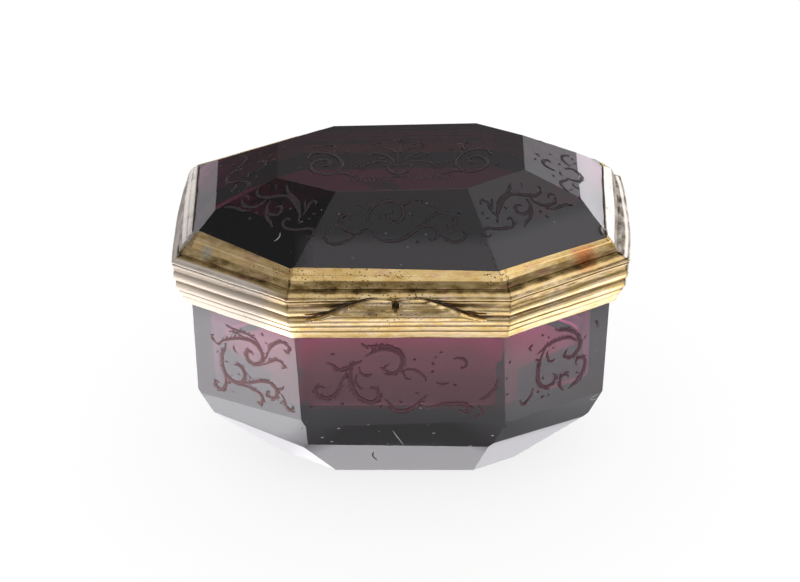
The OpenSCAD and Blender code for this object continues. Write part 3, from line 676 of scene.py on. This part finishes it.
def tableGarden():
    # an urn of flowers between two scrolls on hatched ground
    strokes = [
        (0.9, [(-2.3, -2.6), (-2.0, -4.4), (-1.0, -5.6), (0, -6.0), (1.0, -5.6), (2.0, -4.4), (2.3, -2.6)]),
        (0.7, [(-2.8, -2.4), (0, -2.8), (2.8, -2.4)]), (0.7, [(0, -6.0), (0, -6.9)]),
        (0.8, [(-1.6, -7.2), (0, -6.9), (1.6, -7.2)]), (0.6, [(0, -2.6), (-0.3, 0.6), (0.2, 3.4), (0, 5.0)]),
    ]
    half = [
        (0.6, [(0.6, -2.5), (1.8, 0.0), (3.8, 1.6), (5.4, 1.5), (5.9, 0.4)]),
        (0.6, [(0.9, -2.5), (3.2, -1.4), (5.6, -1.9), (7.0, -3.0)]),
        (0.6, [(0.3, 1.2), (1.6, 3.0), (3.2, 3.9)]), (0.7, [(2.0, 0.4), (3.4, -0.2), (4.4, 0.1)]),
        (0.95, [(8.6, -6.4), (11.2, -5.2), (14.2, -5.6), (16.6, -4.2), (17.0, -1.8), (15.6, -0.2),
                (13.8, -0.6), (13.6, -2.2), (14.8, -2.6)]),
        (0.85, [(12.4, -5.3), (11.0, -3.0), (11.4, -0.6), (13.0, 1.6), (15.4, 2.6), (17.4, 1.8),
                (17.8, 0.2)]),
        (0.7, [(13.0, 1.6), (12.4, 3.6), (13.2, 5.2), (14.6, 5.0)]), (0.9, [(10.2, 2.6)]),
        (0.8, [(19.0, -3.4)]), (0.8, [(9.4, -2.2)]), (0.8, [(16.6, 4.6)]),
    ]
    for flip in (1, -1):
        strokes += [(width, [(flip * x, y) for x, y in points]) for width, points in half]
    # petals round a bud, for each flower
    for x, y in ((0, 5.9), (3.9, 4.5), (-3.9, 4.5), (7.6, -3.5), (-7.6, -3.5)):
        for i in range(5):
            turn = math.radians(72 * i + 18)
            strokes.append((0.65, [(x + 0.9 * math.cos(turn), y + 0.9 * math.sin(turn))]))
        strokes.append((0.5, [(x, y)]))
    for i in range(26):
        x = -10.4 + 0.83 * i + random.uniform(-0.15, 0.15)
        if abs(x) > 1.9:
            strokes.append((0.4, [(x, -6.6 + random.uniform(-0.3, 0.3)), (x + 0.5, -7.5), (x + 0.8, -8.4)]))
    return strokes


def drawStrokes(strokes, thickness=0.07):
    # flattened rods along smooth curves, thick in the middle of each stroke and fine at its ends
    curve = bpy.data.curves.new("strokes", "CURVE")
    curve.dimensions = "3D"
    curve.bevel_depth = 0.5 * mm
    curve.bevel_resolution = 1
    curve.resolution_u = 4
    curve.use_fill_caps = True
    for width, points in strokes:
        if len(points) == 1:
            x, y = points[0]
            points = [(x - 0.3, y - 0.1), (x, y), (x + 0.3, y + 0.05)]
        spline = curve.splines.new("BEZIER")
        spline.bezier_points.add(len(points) - 1)
        for i, (x, y) in enumerate(points):
            at = spline.bezier_points[i]
            at.co = (x * mm, y * mm, 0)
            at.handle_left_type = at.handle_right_type = "AUTO"
            along = i / (len(points) - 1)
            at.radius = width * (0.45 + 0.55 * math.sin(math.pi * along) ** 0.6)
    holder = bpy.data.objects.new("strokes", curve)
    bpy.context.scene.collection.objects.link(holder)
    bpy.context.view_layer.update()
    mesh = bpy.data.meshes.new_from_object(holder.evaluated_get(bpy.context.evaluated_depsgraph_get()))
    bpy.data.objects.remove(holder)
    bpy.data.curves.remove(curve)
    shape = bmesh.new()
    shape.from_mesh(mesh)
    bpy.data.meshes.remove(mesh)
    bmesh.ops.remove_doubles(shape, verts=shape.verts, dist=tiny)
    shape.normal_update()
    # how far each point faces out of the facet; the ground-glass finish paints shade where this is low
    rise = shape.verts.layers.float.new("rise")
    for v in shape.verts:
        v[rise] = max(0.0, v.normal.z)
    bmesh.ops.scale(shape, vec=(1, 1, thickness), verts=shape.verts)
    low = min(v.co.z for v in shape.verts)
    bmesh.ops.translate(shape, vec=(0, 0, 0.006 * mm - low), verts=shape.verts)
    return shape


def leafy(strokes):
    # finer strokes, with small leaf nibs cut along the outer side of the long ones
    nibs = []
    for width, points in strokes:
        for i in range(1, len(points) - 2 if len(points) > 5 else 0):
            start, end = Vector(points[i]), Vector(points[i + 1])
            way = (end - start).normalized()
            turn = way.x * (points[i + 2][1] - points[i][1]) - way.y * (points[i + 2][0] - points[i][0])
            side = Vector((way.y, -way.x)) * (1 if turn > 0 else -1)
            for share in (0.15, 0.65):
                root = start.lerp(end, share) + side * width * 0.25
                nibs.append((0.32, [tuple(root), tuple(root + side * 0.35 + way * 0.25),
                                    tuple(root + side * 0.5 + way * 0.7)]))
    return [(width * 0.86, points) for width, points in strokes] + nibs


def layOn(shape, frameOfFacet, slant=Matrix.Identity(4)):
    # moves flat work onto a facet
    place, along, slope, normal = frameOfFacet
    turned = Matrix((along, slope, normal)).transposed().to_4x4()
    bmesh.ops.transform(shape, matrix=Matrix.Translation(place) @ turned @ slant, verts=shape.verts)


def engrave(name, strokes, frameOfFacet, body, flip=1, offset=(0, 0), stretch=1.0, lean=0.0, finish=None):
    # lays the strokes on a facet; lean slants them along a facet whose middle line isn't upright
    shape = drawStrokes(strokes)
    bmesh.ops.translate(shape, vec=(offset[0] * mm, offset[1] * mm, 0), verts=shape.verts)
    slant = Matrix.Identity(4)
    slant[0][0] = flip * stretch
    slant[0][1] = lean
    layOn(shape, frameOfFacet, slant)
    if flip < 0:
        bmesh.ops.reverse_faces(shape, faces=shape.faces)
    # the lid's strokes take the darker copy, painted in shade
    finish = finish or ("ground_wall" if body == "body" else "ground_lid_painted_shade")
    addPiece(name, shape, body, finish)


def engraveWall(side, strokes, flip):
    # an oblique wall's strokes are measured from its left edge
    left, stretch = (-12.7, 0.905) if kindOf(side) == "oblique" else (0, 1.0)
    # the front-left and back-right walls take the paler copy, painted lit
    finish = "ground_painted_lit" if strokes is obliqueWall else "ground_wall"
    engrave("engraving_wall_" + side, leafy(strokes), facetFrame(side, *bodyFacets(side)[0]), "body", flip,
            (left, -bodyGlass["top"]), stretch, finish=finish)


def engraveLid(side, strokes, flip):
    low, high, turn = lidFacets(side)[-1]
    length = math.hypot(high[0] - low[0], high[1] - low[1])
    lean = (sideShift(side, high[0]) - sideShift(side, low[0])) / length
    finer = [(width * 0.82, points) for width, points in strokes]
    engrave("engraving_lid_" + side, finer, facetFrame(side, low, high, turn), "lid", flip, lean=lean)


wallArt = {"frontLeft": (obliqueWall, 1), "frontRight": (otherWall, 1), "front": (frontWall, 1),
           "backLeft": (otherWall, 1), "backRight": (obliqueWall, 1), "back": (frontWall, -1)}
lidArt = {"frontLeft": (obliqueLid, 1), "frontRight": (obliqueLid, -1), "backLeft": (obliqueLid, -1),
          "backRight": (obliqueLid, 1), "front": (frontLid, 1), "back": (frontLid, -1), "right": (endLid, 1),
          "left": (endLid, -1)}
for side, (strokes, flip) in wallArt.items():
    engraveWall(side, strokes, flip)
for side, (strokes, flip) in lidArt.items():
    engraveLid(side, strokes, flip)
place, tilt = tablePlane()
along = Vector((0, 1, 0)).cross(tilt).normalized()
engrave("engraving_lid_table", tableGarden(), (place, along, tilt.cross(along), tilt), "lid")

# nicks along the arrises, dark, and scratches, pale: on which facet, counted down the body or up the lid
wear = [
    ("nicks_wall", "black_dirt_and_shadow", bodyFacets, "frontRight", 0,
     [(0.7, [(-10.9, -20.4), (-10.8, -19.8)]), (0.6, [(-10.3, -16.6), (-10.2, -16.1)]),
      (0.4, [(-10.6, -24)])]),
    ("nicks_right_chamfer", "black_dirt_and_shadow", bodyFacets, "frontRight", 1,
     [(0.8, [(-10.2, -1.6), (-9.9, -1.1)])]),
    ("nicks_left_chamfer", "black_dirt_and_shadow", bodyFacets, "frontLeft", 1, [(0.6, [(10.7, -1.9), (10.9, -1.4)])]),
    ("curl_base", "black_dirt_and_shadow", bodyFacets, "front", 2,
     [(0.35, [(-5.5, -3.9), (-5.8, -5.4), (-5.5, -7.0), (-4.9, -8.6)])]),
    ("scratch_chamfer", "scratched_glass", bodyFacets, "front", 1,
     [(0.22, [(-1.6, -2.1), (-0.7, -4.2), (0.5, -6.7)]), (0.3, [(-12.2, -1.3)]), (0.35, [(-15.5, -4.2)]),
      (0.3, [(-13.7, -5.6)]), (0.4, [(18.1, -3.9)]), (0.3, [(13.7, -7.3)]), (0.25, [(6.5, -3.0)])]),
    ("scratch_right", "scratched_glass", bodyFacets, "frontRight", 1,
     [(0.4, [(10.9, -0.5), (9.9, -1.3), (9.5, -1.7)]), (0.35, [(9.4, -1.8), (10.2, -2.4), (11.0, -2.6)])]),
    ("scratch_lid_left", "scratched_glass", lidFacets, "frontLeft", 0,
     [(0.22, [(5.4, 4.2), (5.9, 4.9), (6.0, 5.6), (5.8, 6.2)])]),
    ("nicks_lid", "black_dirt_and_shadow", lidFacets, "front", 0,
     [(0.45, [(15.2, 5.6), (15.8, 5.5)]), (0.4, [(16.4, 5.2), (16.9, 4.7)]),
      (0.45, [(17.4, 3.9), (17.6, 3.4)]), (0.5, [(17.9, 2.6), (18.2, 2.0)]),
      (0.5, [(18.3, 1.3), (18.6, 0.6)])]),
]
for name, finish, facets, side, facet, strokes in wear:
    body = "body" if facets is bodyFacets else "lid"
    engrave(name, strokes, facetFrame(side, *facets(side)[facet]), body, finish=finish)
# a chip where the lid's glass meets its lip
chipped = (Vector((39.7, -12.2, 56.9)) * mm,) + facetFrame("frontRight", *lidFacets("frontRight")[0])[1:]
chipEdge = [(0.5, [(-0.9, -0.7), (-1.0, 0.3), (-0.4, 1.2)]), (0.35, [(-0.2, -0.9), (0.3, -0.2)])]
chipFace = [(0.4, [(-0.5, -0.6), (-0.5, 0.2), (-0.1, 0.7)]), (0.3, [(0.1, 0.1)])]
engrave("chip_lid_edge", chipEdge, chipped, "lid", finish="black_dirt_and_shadow")
engrave("chip_lid_face", chipFace, chipped, "lid", finish="scratched_glass")
print("engraving done")

# the hinge's axis, the radius of its bed in the mounts, and half its length
hinge = {"y": 28.3, "bed": 1.7, "half": 19.2}


def arc(inset, height, radius, start, end, steps=7):
    # points of a moulding's curve, from one angle above straight out to another
    turns = [math.radians(start + (end - start) * i / steps) for i in range(steps + 1)]
    return [(inset - radius * math.cos(t), height + radius * math.sin(t)) for t in turns]


def rounded(points, radius=0.07):
    # a closed outline with a small curve at each of its corners
    result = []
    for i, (x, y) in enumerate(points):
        here = Vector((x, y))
        before, after = Vector(points[i - 1]) - here, Vector(points[(i + 1) % len(points)]) - here
        if before.angle(after) > math.radians(155):
            result.append((x, y))
            continue
        first = here + before.normalized() * min(radius, before.length * 0.4)
        last = here + after.normalized() * min(radius, after.length * 0.4)
        middle = (first + last) / 4 + here / 2
        result += [tuple(first), tuple(middle), tuple(last)]
    return result


def glassTop(place):
    # how high the lid's glass stands at a point in plan
    heights = []
    for side in sides:
        point, along, slope, normal = facetFrame(side, *lidFacets(side)[0])
        point = point / mm
        heights.append(point.z - (normal.x * (place.x - point.x) + normal.y * (place.y - point.y)) / normal.z)
    return min(heights)


# the mouldings worn nearly flat: their level by height, how flat, and the sides whose far corner is worn
wornDown = {
    "levels": [(-10.2, 2.5), (-7.0, 1.1), (-5.35, 0.6), (-2.8, 0.2), (-0.1, 0.15)],
    "from": -8.5, "to": -0.15, "share": 0.65, "sides": ("frontRight", "right", "backLeft", "left"),
}


def shallow(inset, height):
    # the same point where the mouldings are worn
    if not wornDown["from"] < height < wornDown["to"]:
        return inset
    for (low, first), (high, second) in zip(wornDown["levels"], wornDown["levels"][1:]):
        if low <= height <= high:
            level = first + (second - first) * (height - low) / (high - low)
            return min(inset, inset + (level - inset) * wornDown["share"])
    return inset


def bend(place, side):
    # the small unevenness of old hand work, and the hollow that the hinge lies in
    height = place.z - seamHeight
    place = place + noise.noise_vector(place / 8) * 0.12 + noise.noise_vector(place / 2.3) * 0.035
    away = hinge["bed"] ** 2 - height ** 2
    if side == "back" and abs(place.x) < hinge["half"] and away > 0:
        place.y = min(place.y, hinge["y"] - math.sqrt(away))
    return place


def stations(k, step=2.2):
    # where sections stand along side k, from 0 to 1: closer near its corners and at the hinge's ends
    length = (corner(k, 1) - corner(k - 1, 1)).length
    cuts = [i * step / length for i in range(1, int(length / step))]
    cuts += [0.0] + [abs(end - d / length) for end in (0, 1) for d in (0.12, 0.3, 0.8)]
    if around[k] == "back":
        cuts += [0.5 + s * hinge["half"] / length + d for s in (-1, 1) for d in (-0.0012, 0.0012)]
    return sorted(cuts)


# how the bezel's lower bevel dies away in a curve at both ends of the front
bevelEnd = {"length": 1.8, "drop": 1.1, "way": (0, -0.47, -1)}


def mouldingLine(k, inset, height):
    # one line of a moulding along side k, in metres
    side = around[k]
    insets = [shallow(inset, height) if around[j] in wornDown["sides"] else inset for j in (k - 1, k)]
    start, end = corner(k - 1, insets[0], height), corner(k, insets[1], height)
    lipStart, lipEnd = lipLine(k)
    atRims, atFoot = endBow.get(side, (0, 0))
    bow = atRims if height < mount["rimTop"] else atFoot * clamp((mount["lip"] - height) / mount["bezelRise"])
    line = []
    for t in stations(k):
        place = start.lerp(end, t)
        place.x += math.copysign(4 * t * (1 - t) * bow, place.x)
        if t == 0.0:
            # the corner itself is a little rounded
            before = corner(k - 2, inset, height) - place
            place = place + (before.normalized() + (end - place).normalized()) * 0.04
        place.z = seamHeight + height
        fromEnd = min(t, 1 - t) * (end - start).length
        if side == "front" and height == mount["bevelTop"] and fromEnd < bevelEnd["length"]:
            drop = bevelEnd["drop"] * (1 - math.sqrt(1 - (1 - fromEnd / bevelEnd["length"]) ** 2))
            place += Vector(bevelEnd["way"]) * drop
        if height > mount["bevelTop"]:
            # the lip lies on the glass
            lift = glassTop(lipStart.lerp(lipEnd, t)) + 0.15 - seamHeight - mount["lip"]
            place.z += lift * (height - mount["bevelTop"]) / mount["lipRise"]
        line.append(bend(place, side) * mm)
    return line


def sweepRing(outline):
    # carries an outline of (inset, height above the parting line) round the eight sides, with mitred corners
    shape = bmesh.new()
    rings = []
    for inset, height in rounded(outline):
        rings.append([shape.verts.new(place) for k in range(8) for place in mouldingLine(k, inset, height)])
    for low, high in zip(rings, rings[1:] + rings[:1]):
        for j in range(len(low)):
            after = (j + 1) % len(low)
            shape.faces.new((low[j], low[after], high[after], high[j]))
    bmesh.ops.recalc_face_normals(shape, faces=shape.faces)
    return shape


def smoothPiece(piece, angle=35):
    piece.data.polygons.foreach_set("use_smooth", [True] * len(piece.data.polygons))
    piece.data.set_sharp_from_angle(angle=math.radians(angle))


bodyRim = {
    "skirt": [(3.2, -10.2), (2.65, -10.2), (2.35, -9.9), (1.77, -8.25), (1.9, -8.02), (1.62, -7.75),
              (1.3, -6.75), (1.6, -6.45)],
    "ovolo": (1.75, -5.35, 1.2, -62, 70), "bead": (1.25, -2.8, 1.1, -70, 70),
    "cove": (-0.1, -1.2, 0.75, 180, 105),
    "plate": [(0.1, -0.18), (0.18, -0.1), (7.25, -0.1), (7.25, -1.3), (3.2, -1.3)],
}
curves = [point for part in ("ovolo", "bead", "cove") for point in arc(*bodyRim[part])]
outline = bodyRim["skirt"] + curves + bodyRim["plate"]
piece = addPiece("casket_body_rim", sweepRing(outline), "body", "gilt_brass")
smoothPiece(piece)
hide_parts("body_rim")
lidRim = [(0.1, 0.1), (0.02, 0.18), (0.02, 0.5), (0.25, 0.62), (0.5, 0.76), (1.25, 1.3), (1.75, 1.3),
          (1.75, 1.58), (3.05, 1.58), (3.05, 0.1)]
piece = addPiece("casket_lid_rim", sweepRing(lidRim), "lid", "gilt_brass")
smoothPiece(piece)
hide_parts("lid_rim")
bezel = [(1.6, 1.63), (1.5, 1.73), (1.5, 1.93), (2.1, 3.2), (3.67, 4.95), (3.8, 4.95), (3.87, 4.8),
         (2.7, 4.0), (2.7, 1.63)]
piece = addPiece("casket_lid_bezel", sweepRing(bezel), "lid", "gilt_brass")
smoothPiece(piece, 12)
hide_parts("lid_bezel")

thumb = {
    "half": 17.3, "at": (-0.5, -28.85), "foot": -3.95, "root": 0.35,
    "lobe": 4.6, "rise": 1.05, "lobeFall": 0.45, "wingFall": 2.3, "wingSlope": 2.2,
    "notch": 0.7, "notchFoot": -1.55, "notchTop": 0.15,
    # its face: a round bead, then a hollow, then a plain slope
    "beadTop": -1.9, "beadAt": (0.35, -2.8), "beadRadius": 1.1,
    "hollowTop": -0.35, "hollowAt": (1.8, -1.0), "hollowRadius": 0.7, "slopeFoot": 1.275, "slope": 0.22,
    # its edge: how wide, and how much of the face's reach it takes away
    "edge": 0.3, "edgeLoss": 0.72, "edgeReach": 0.28,
    "columns": 34, "levels": 30,
}


def braceHeight(x):
    # the upper edge: two lobes that run out in long curves
    t = thumb
    x = abs(x)
    if x > t["lobe"]:
        along = min((x - t["lobe"]) / (t["half"] - t["lobe"]), 1.0)
        return t["rise"] - t["wingFall"] * (1 - math.cos(math.pi * along)) / 2 - t["wingSlope"] * along
    if x < t["notch"] - 0.001:
        return t["notchFoot"] + (t["notchTop"] - t["notchFoot"]) * x / t["notch"]
    return t["rise"] - t["lobeFall"] * (1 - x / t["lobe"]) ** 2


def braceReach(height):
    # how far out its face stands
    t = thumb
    if height < t["beadTop"]:
        out, middle = t["beadAt"]
        return out + math.sqrt(max(t["beadRadius"] ** 2 - (height - middle) ** 2, 0.0))
    if height < t["hollowTop"]:
        out, middle = t["hollowAt"]
        return out - math.sqrt(max(t["hollowRadius"] ** 2 - (height - middle) ** 2, 0.02))
    return t["slopeFoot"] - t["slope"] * (height - t["hollowTop"])


def buildThumb():
    t = thumb
    offsets = [t["notch"] - 0.002, t["notch"], t["notch"] / 2, 0.0]
    offsets += [t["notch"] + (t["half"] - t["notch"]) * i / t["columns"] for i in range(1, t["columns"] + 1)]
    columns = sorted({sign * offset for offset in offsets for sign in (1, -1)})
    levels = [t["foot"] + (t["rise"] - t["foot"]) * i / t["levels"] for i in range(t["levels"] + 1)]
    shape = bmesh.new()
    grid = []
    for x in columns:
        top = braceHeight(x)
        column = []
        for level in levels:
            height = min(level, top)
            reach = braceReach(height)
            near = max(0.0, t["edge"] - (top - height)) / t["edge"]
            reach = reach * (1 - near ** 2 * t["edgeLoss"]) + t["edgeReach"] * near ** 2
            column.append((x, -reach, height))
        # over its edge, then back to the lid's rim out of sight
        column += [(x, -0.2, top), (x, 0.0, top - 0.15), (x, 0.0, top - 0.4), (x, t["root"], top - 0.4),
                   (x, t["root"], t["foot"])]
        grid.append([shape.verts.new(Vector((t["at"][0] + a, t["at"][1] + b, seamHeight + c)) * mm)
                     for a, b, c in column])
    for left, right in zip(grid, grid[1:]):
        for i in range(len(left)):
            j = (i + 1) % len(left)
            shape.faces.new((left[i], right[i], right[j], left[j]))
    shape.faces.new(grid[0])
    shape.faces.new(grid[-1][::-1])
    bmesh.ops.remove_doubles(shape, verts=shape.verts, dist=tiny)
    bmesh.ops.recalc_face_normals(shape, faces=shape.faces)
    return shape


piece = addPiece("casket_thumbpiece", buildThumb(), "lid", "gilt_brass")
smoothPiece(piece, 50)
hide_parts("thumbpiece")


def buildCreviceShadow():
    # a dark strip in the long gap above the thumbpiece's wings: a painted shadow of the gap, in the dark dirt
    # finish
    strokes = []
    for flip, last in ((-1, 17.6), (1, 18.6)):
        points = []
        for i in range(15):
            x = 3.4 + (last - 3.4) * i / 14
            points.append((flip * x + thumb["at"][0], braceHeight(min(x, thumb["half"])) + 0.12))
        strokes.append((0.42, points))
    strokes.append((0.55, [(thumb["at"][0], 0.5), (thumb["at"][0], -0.4), (thumb["at"][0], -1.3)]))
    shape = drawStrokes(strokes, 0.5)
    turned = Matrix(((1, 0, 0), (0, 0, -1), (0, 1, 0))).to_4x4()
    place = Matrix.Translation(Vector((0, -28.68, seamHeight)) * mm)
    bmesh.ops.transform(shape, matrix=place @ turned, verts=shape.verts)
    return shape


addPiece("thumbpiece_crevice_shadow", buildCreviceShadow(), "lid", "black_dirt_and_shadow")


def lipDirt(side):
    # a black line of dirt where the glass meets the lip, along an end
    start, end = lipLine(around.index(side))
    frameOfFacet = facetFrame(side, *lidFacets(side)[0])
    place, along, slope, normal = frameOfFacet
    points = []
    for i in range(9):
        spot = start.lerp(end, 0.03 + 0.94 * i / 8)
        spot.z = glassTop(spot)
        offset = spot * mm - place
        points.append((offset.dot(along) / mm, offset.dot(slope) / mm + 0.25 + 0.08 * math.sin(i * 2.3)))
    shape = drawStrokes([(0.6, points)], 0.12)
    layOn(shape, frameOfFacet)
    addPiece("lip_dirt_" + side, shape, "lid", "black_dirt_and_shadow")


lipDirt("left")
lipDirt("right")
print("mounts made")

studio = {
    "cameraTarget": (0, 0, 38), "lens": 162.0, "distance": 715.79, "elevation": 34.224, "yaw": -1.077,
    "roll": -0.851, "sideStep": 0.131, "rise": 2.846,
}


def addCamera():
    e, yaw, roll = (math.radians(studio[k]) for k in ("elevation", "yaw", "roll"))
    ahead = Vector((math.sin(yaw) * math.cos(e), math.cos(yaw) * math.cos(e), -math.sin(e)))
    level = Vector((math.cos(yaw), -math.sin(yaw), 0))
    top = level.cross(ahead)
    right = math.cos(roll) * level + math.sin(roll) * top
    up = -math.sin(roll) * level + math.cos(roll) * top
    target = Vector(studio["cameraTarget"])
    place = target - ahead * studio["distance"] - right * studio["sideStep"] - up * studio["rise"]
    camera = bpy.data.objects.new("camera", bpy.data.cameras.new("camera"))
    camera.data.lens = studio["lens"]
    camera.data.sensor_width = 36
    camera.data.clip_start = 0.01
    camera.data.clip_end = 20
    camera.matrix_world = Matrix.Translation(place * mm) @ Matrix((right, up, -ahead)).transposed().to_4x4()
    bpy.context.scene.collection.objects.link(camera)
    bpy.context.scene.camera = camera


sweep = {
    "glow": 0.8, "paper": 0.22,
    # strength in reflections, by distance in metres out in front of the box, across its nearest side; the dip
    # from 0.0265 to 0.031 is the box's shadow, painted into the glow
    "rings": [(0.0, 2.05), (0.0225, 2.1), (0.0265, 0.56), (0.031, 0.56), (0.037, 1.0), (0.046, 1.15),
              (0.052, 1.4), (0.068, 1.7), (0.09, 1.75), (0.1, 1.3), (0.12, 0.9)],
    "left": 4.3, "right": 0.85, "far": (0.9, 3.3),
    # strength through the glass: under the front of the box, under its back, and all round
    "through": (4.3, 7.5, 0.57),
}


def whiteSweep():
    # white translucent sheet on a light table: brightest under the box and in a pool to its left
    material, add = newMaterial("white_sweep")
    rays = add("LightPath")
    place = add("TexCoord").outputs["Object"]
    axes = add("SeparateXYZ", {"Vector": place})
    x, y = axes.outputs["X"], axes.outputs["Y"]
    paper = add("BsdfDiffuse", {"Color": grey(sweep["paper"])})
    glow = add("Emission", {"Color": (1, 1, 1, 1), "Strength": sweep["glow"]})
    plain = add("AddShader", [paper, glow])
    # as reflected
    out = None
    for way in ((0, -1, 0), (0.5, -0.866, 0), (-0.5, -0.866, 0)):
        across = add("VectorMath", [place, way], operation="DOT_PRODUCT")
        out = across if out is None else add("Math", [out, across], operation="MAXIMUM")
    # a ramp holds nothing over 1, so it holds shares of the most
    reach, most = sweep["rings"][-1][0], 3.0
    along = add("MapRange", {"From": (0.0, reach), "Value": out})
    ring = add("ValToRGB", {"Fac": along}, [(d / reach, grey(v / most)) for d, v in sweep["rings"]])
    near = add("Math", [ring, most], operation="MULTIPLY")
    outside = add("MapRange", {"From": (0.024, 0.033), "Value": out})
    lost = add("MapRange", {"From": (0.066, 0.080), "To": (1.0, 0.0), "Value": out})
    beside = add("Math", [outside, lost], operation="MULTIPLY")
    toLeft = add("MapRange", {"From": (-0.021, -0.032), "To": (0.0, sweep["left"]), "Value": x})
    toRight = add("MapRange", {"From": (0.028, 0.050), "To": (0.0, sweep["right"]), "Value": x})
    pools = add("Math", [toLeft, toRight], operation="ADD")
    leftFoot = add("MapRange", {"From": (-0.018, -0.024), "To": (1.0, 0.78), "Value": x})
    ground = add("Math", [near, leftFoot], operation="MULTIPLY")
    front = add("Math", [pools, beside, ground], operation="MULTIPLY_ADD")
    far = add("MapRange", {"From": (0.25, 0.5), "To": sweep["far"], "Value": x})
    behind = add("MapRange", {"From": (0.03, 0.08), "Value": y})
    light = add("Mix", {"Factor": behind, 2: front, 3: far}, data_type="FLOAT")
    mirror = add("Emission", {"Color": linear("#FCFAFF"), "Strength": light})
    # as seen through the glass
    table = add("MapRange", {"From": (-0.003, 0.010), "To": sweep["through"][:2], "Value": y})
    oval = add("VectorMath", [place, (1.0, 1.2, 1.0)], operation="MULTIPLY")
    away = add("VectorMath", [oval], operation="LENGTH")
    dimmed = add("MapRange", {"From": (0.0265, 0.0395), "Value": away})
    below = add("Mix", {"Factor": dimmed, 2: table, 3: sweep["through"][2]}, data_type="FLOAT")
    through = add("Emission", {"Strength": below})
    # a ray that has passed through glass counts as glossy too, so it is sorted out last
    seen = add("MixShader", {"Fac": rays.outputs["Is Glossy Ray"], 1: plain, 2: mirror})
    both = add("MixShader", {"Fac": rays.outputs["Is Transmission Ray"], 1: seen, 2: through})
    add("OutputMaterial", {"Surface": both})
    return material


def addFloor():
    shape = bmesh.new()
    bmesh.ops.create_grid(shape, x_segments=1, y_segments=1, size=2.0)
    bmesh.ops.translate(shape, vec=(0, 0, -0.1 * mm), verts=shape.verts)
    floor = newObject("floor", shape, whiteSweep())


# what the surfaces reflect: where each light is, the cosines at its edge and at its middle, and its strength
room = [
    ((0.45, 0.30, 0.84), 0.62, 0.95, 1.15),     # soft box overhead, to the right
    ((-0.03, -0.68, 0.73), 0.78, 1.0, 0.62),    # fill from the front
    ((-0.60, -0.40, 0.68), 0.85, 1.0, 0.22),    # and from the left
    ((0.0, -0.96, 0.28), 0.90, 0.985, -0.2),    # a dark strip low in front
    ((-0.86, -0.50, 0.10), 0.86, 0.95, 0.3),    # white card to the left
    ((-0.55, 0.83, -0.05), 0.96, 0.99, 0.8),    # horizon behind
    ((0.45, 0.86, 0.20), 0.90, 0.99, 1.0),      # white wall behind, to the right
    ((1.0, 0.0, 0.0), -0.45, -0.10, 0.10),      # the right of the room, a little lighter than the left
]
roomGlow = 0.22   # strength everywhere else


def addWorld():
    world = bpy.data.worlds.new("studio")
    bpy.context.scene.world = world
    world.use_nodes = True
    world.node_tree.nodes.clear()
    add = functools.partial(addNode, world.node_tree)
    rays = add("LightPath")
    ahead = add("TexCoord").outputs["Generated"]
    total = roomGlow
    for way, edge, middle, strength in room:
        facing = add("VectorMath", [ahead, Vector(way).normalized()], operation="DOT_PRODUCT")
        lamp = add("MapRange", {"From": (edge, middle), "To": (0.0, strength), "Value": facing},
                   interpolation_type="SMOOTHSTEP")
        total = add("Math", [total, lamp], operation="ADD")
    reflected = add("Math", [rays.outputs["Is Glossy Ray"], rays.outputs["Is Transmission Ray"]],
                    operation="SUBTRACT", use_clamp=True)
    strength = add("Mix", {"Factor": reflected, 2: 1.0, 3: total}, data_type="FLOAT")
    tone = add("Mix", {"Factor": reflected, 6: (1, 1, 1, 1), 7: linear("#FBFAFF")}, data_type="RGBA")
    shine = add("Background", {"Strength": strength, "Color": tone})
    add("OutputWorld", {"Surface": shine})


addCamera()
addFloor()
addWorld()
bpy.context.scene.view_settings.view_transform = "Standard"
print("studio set")
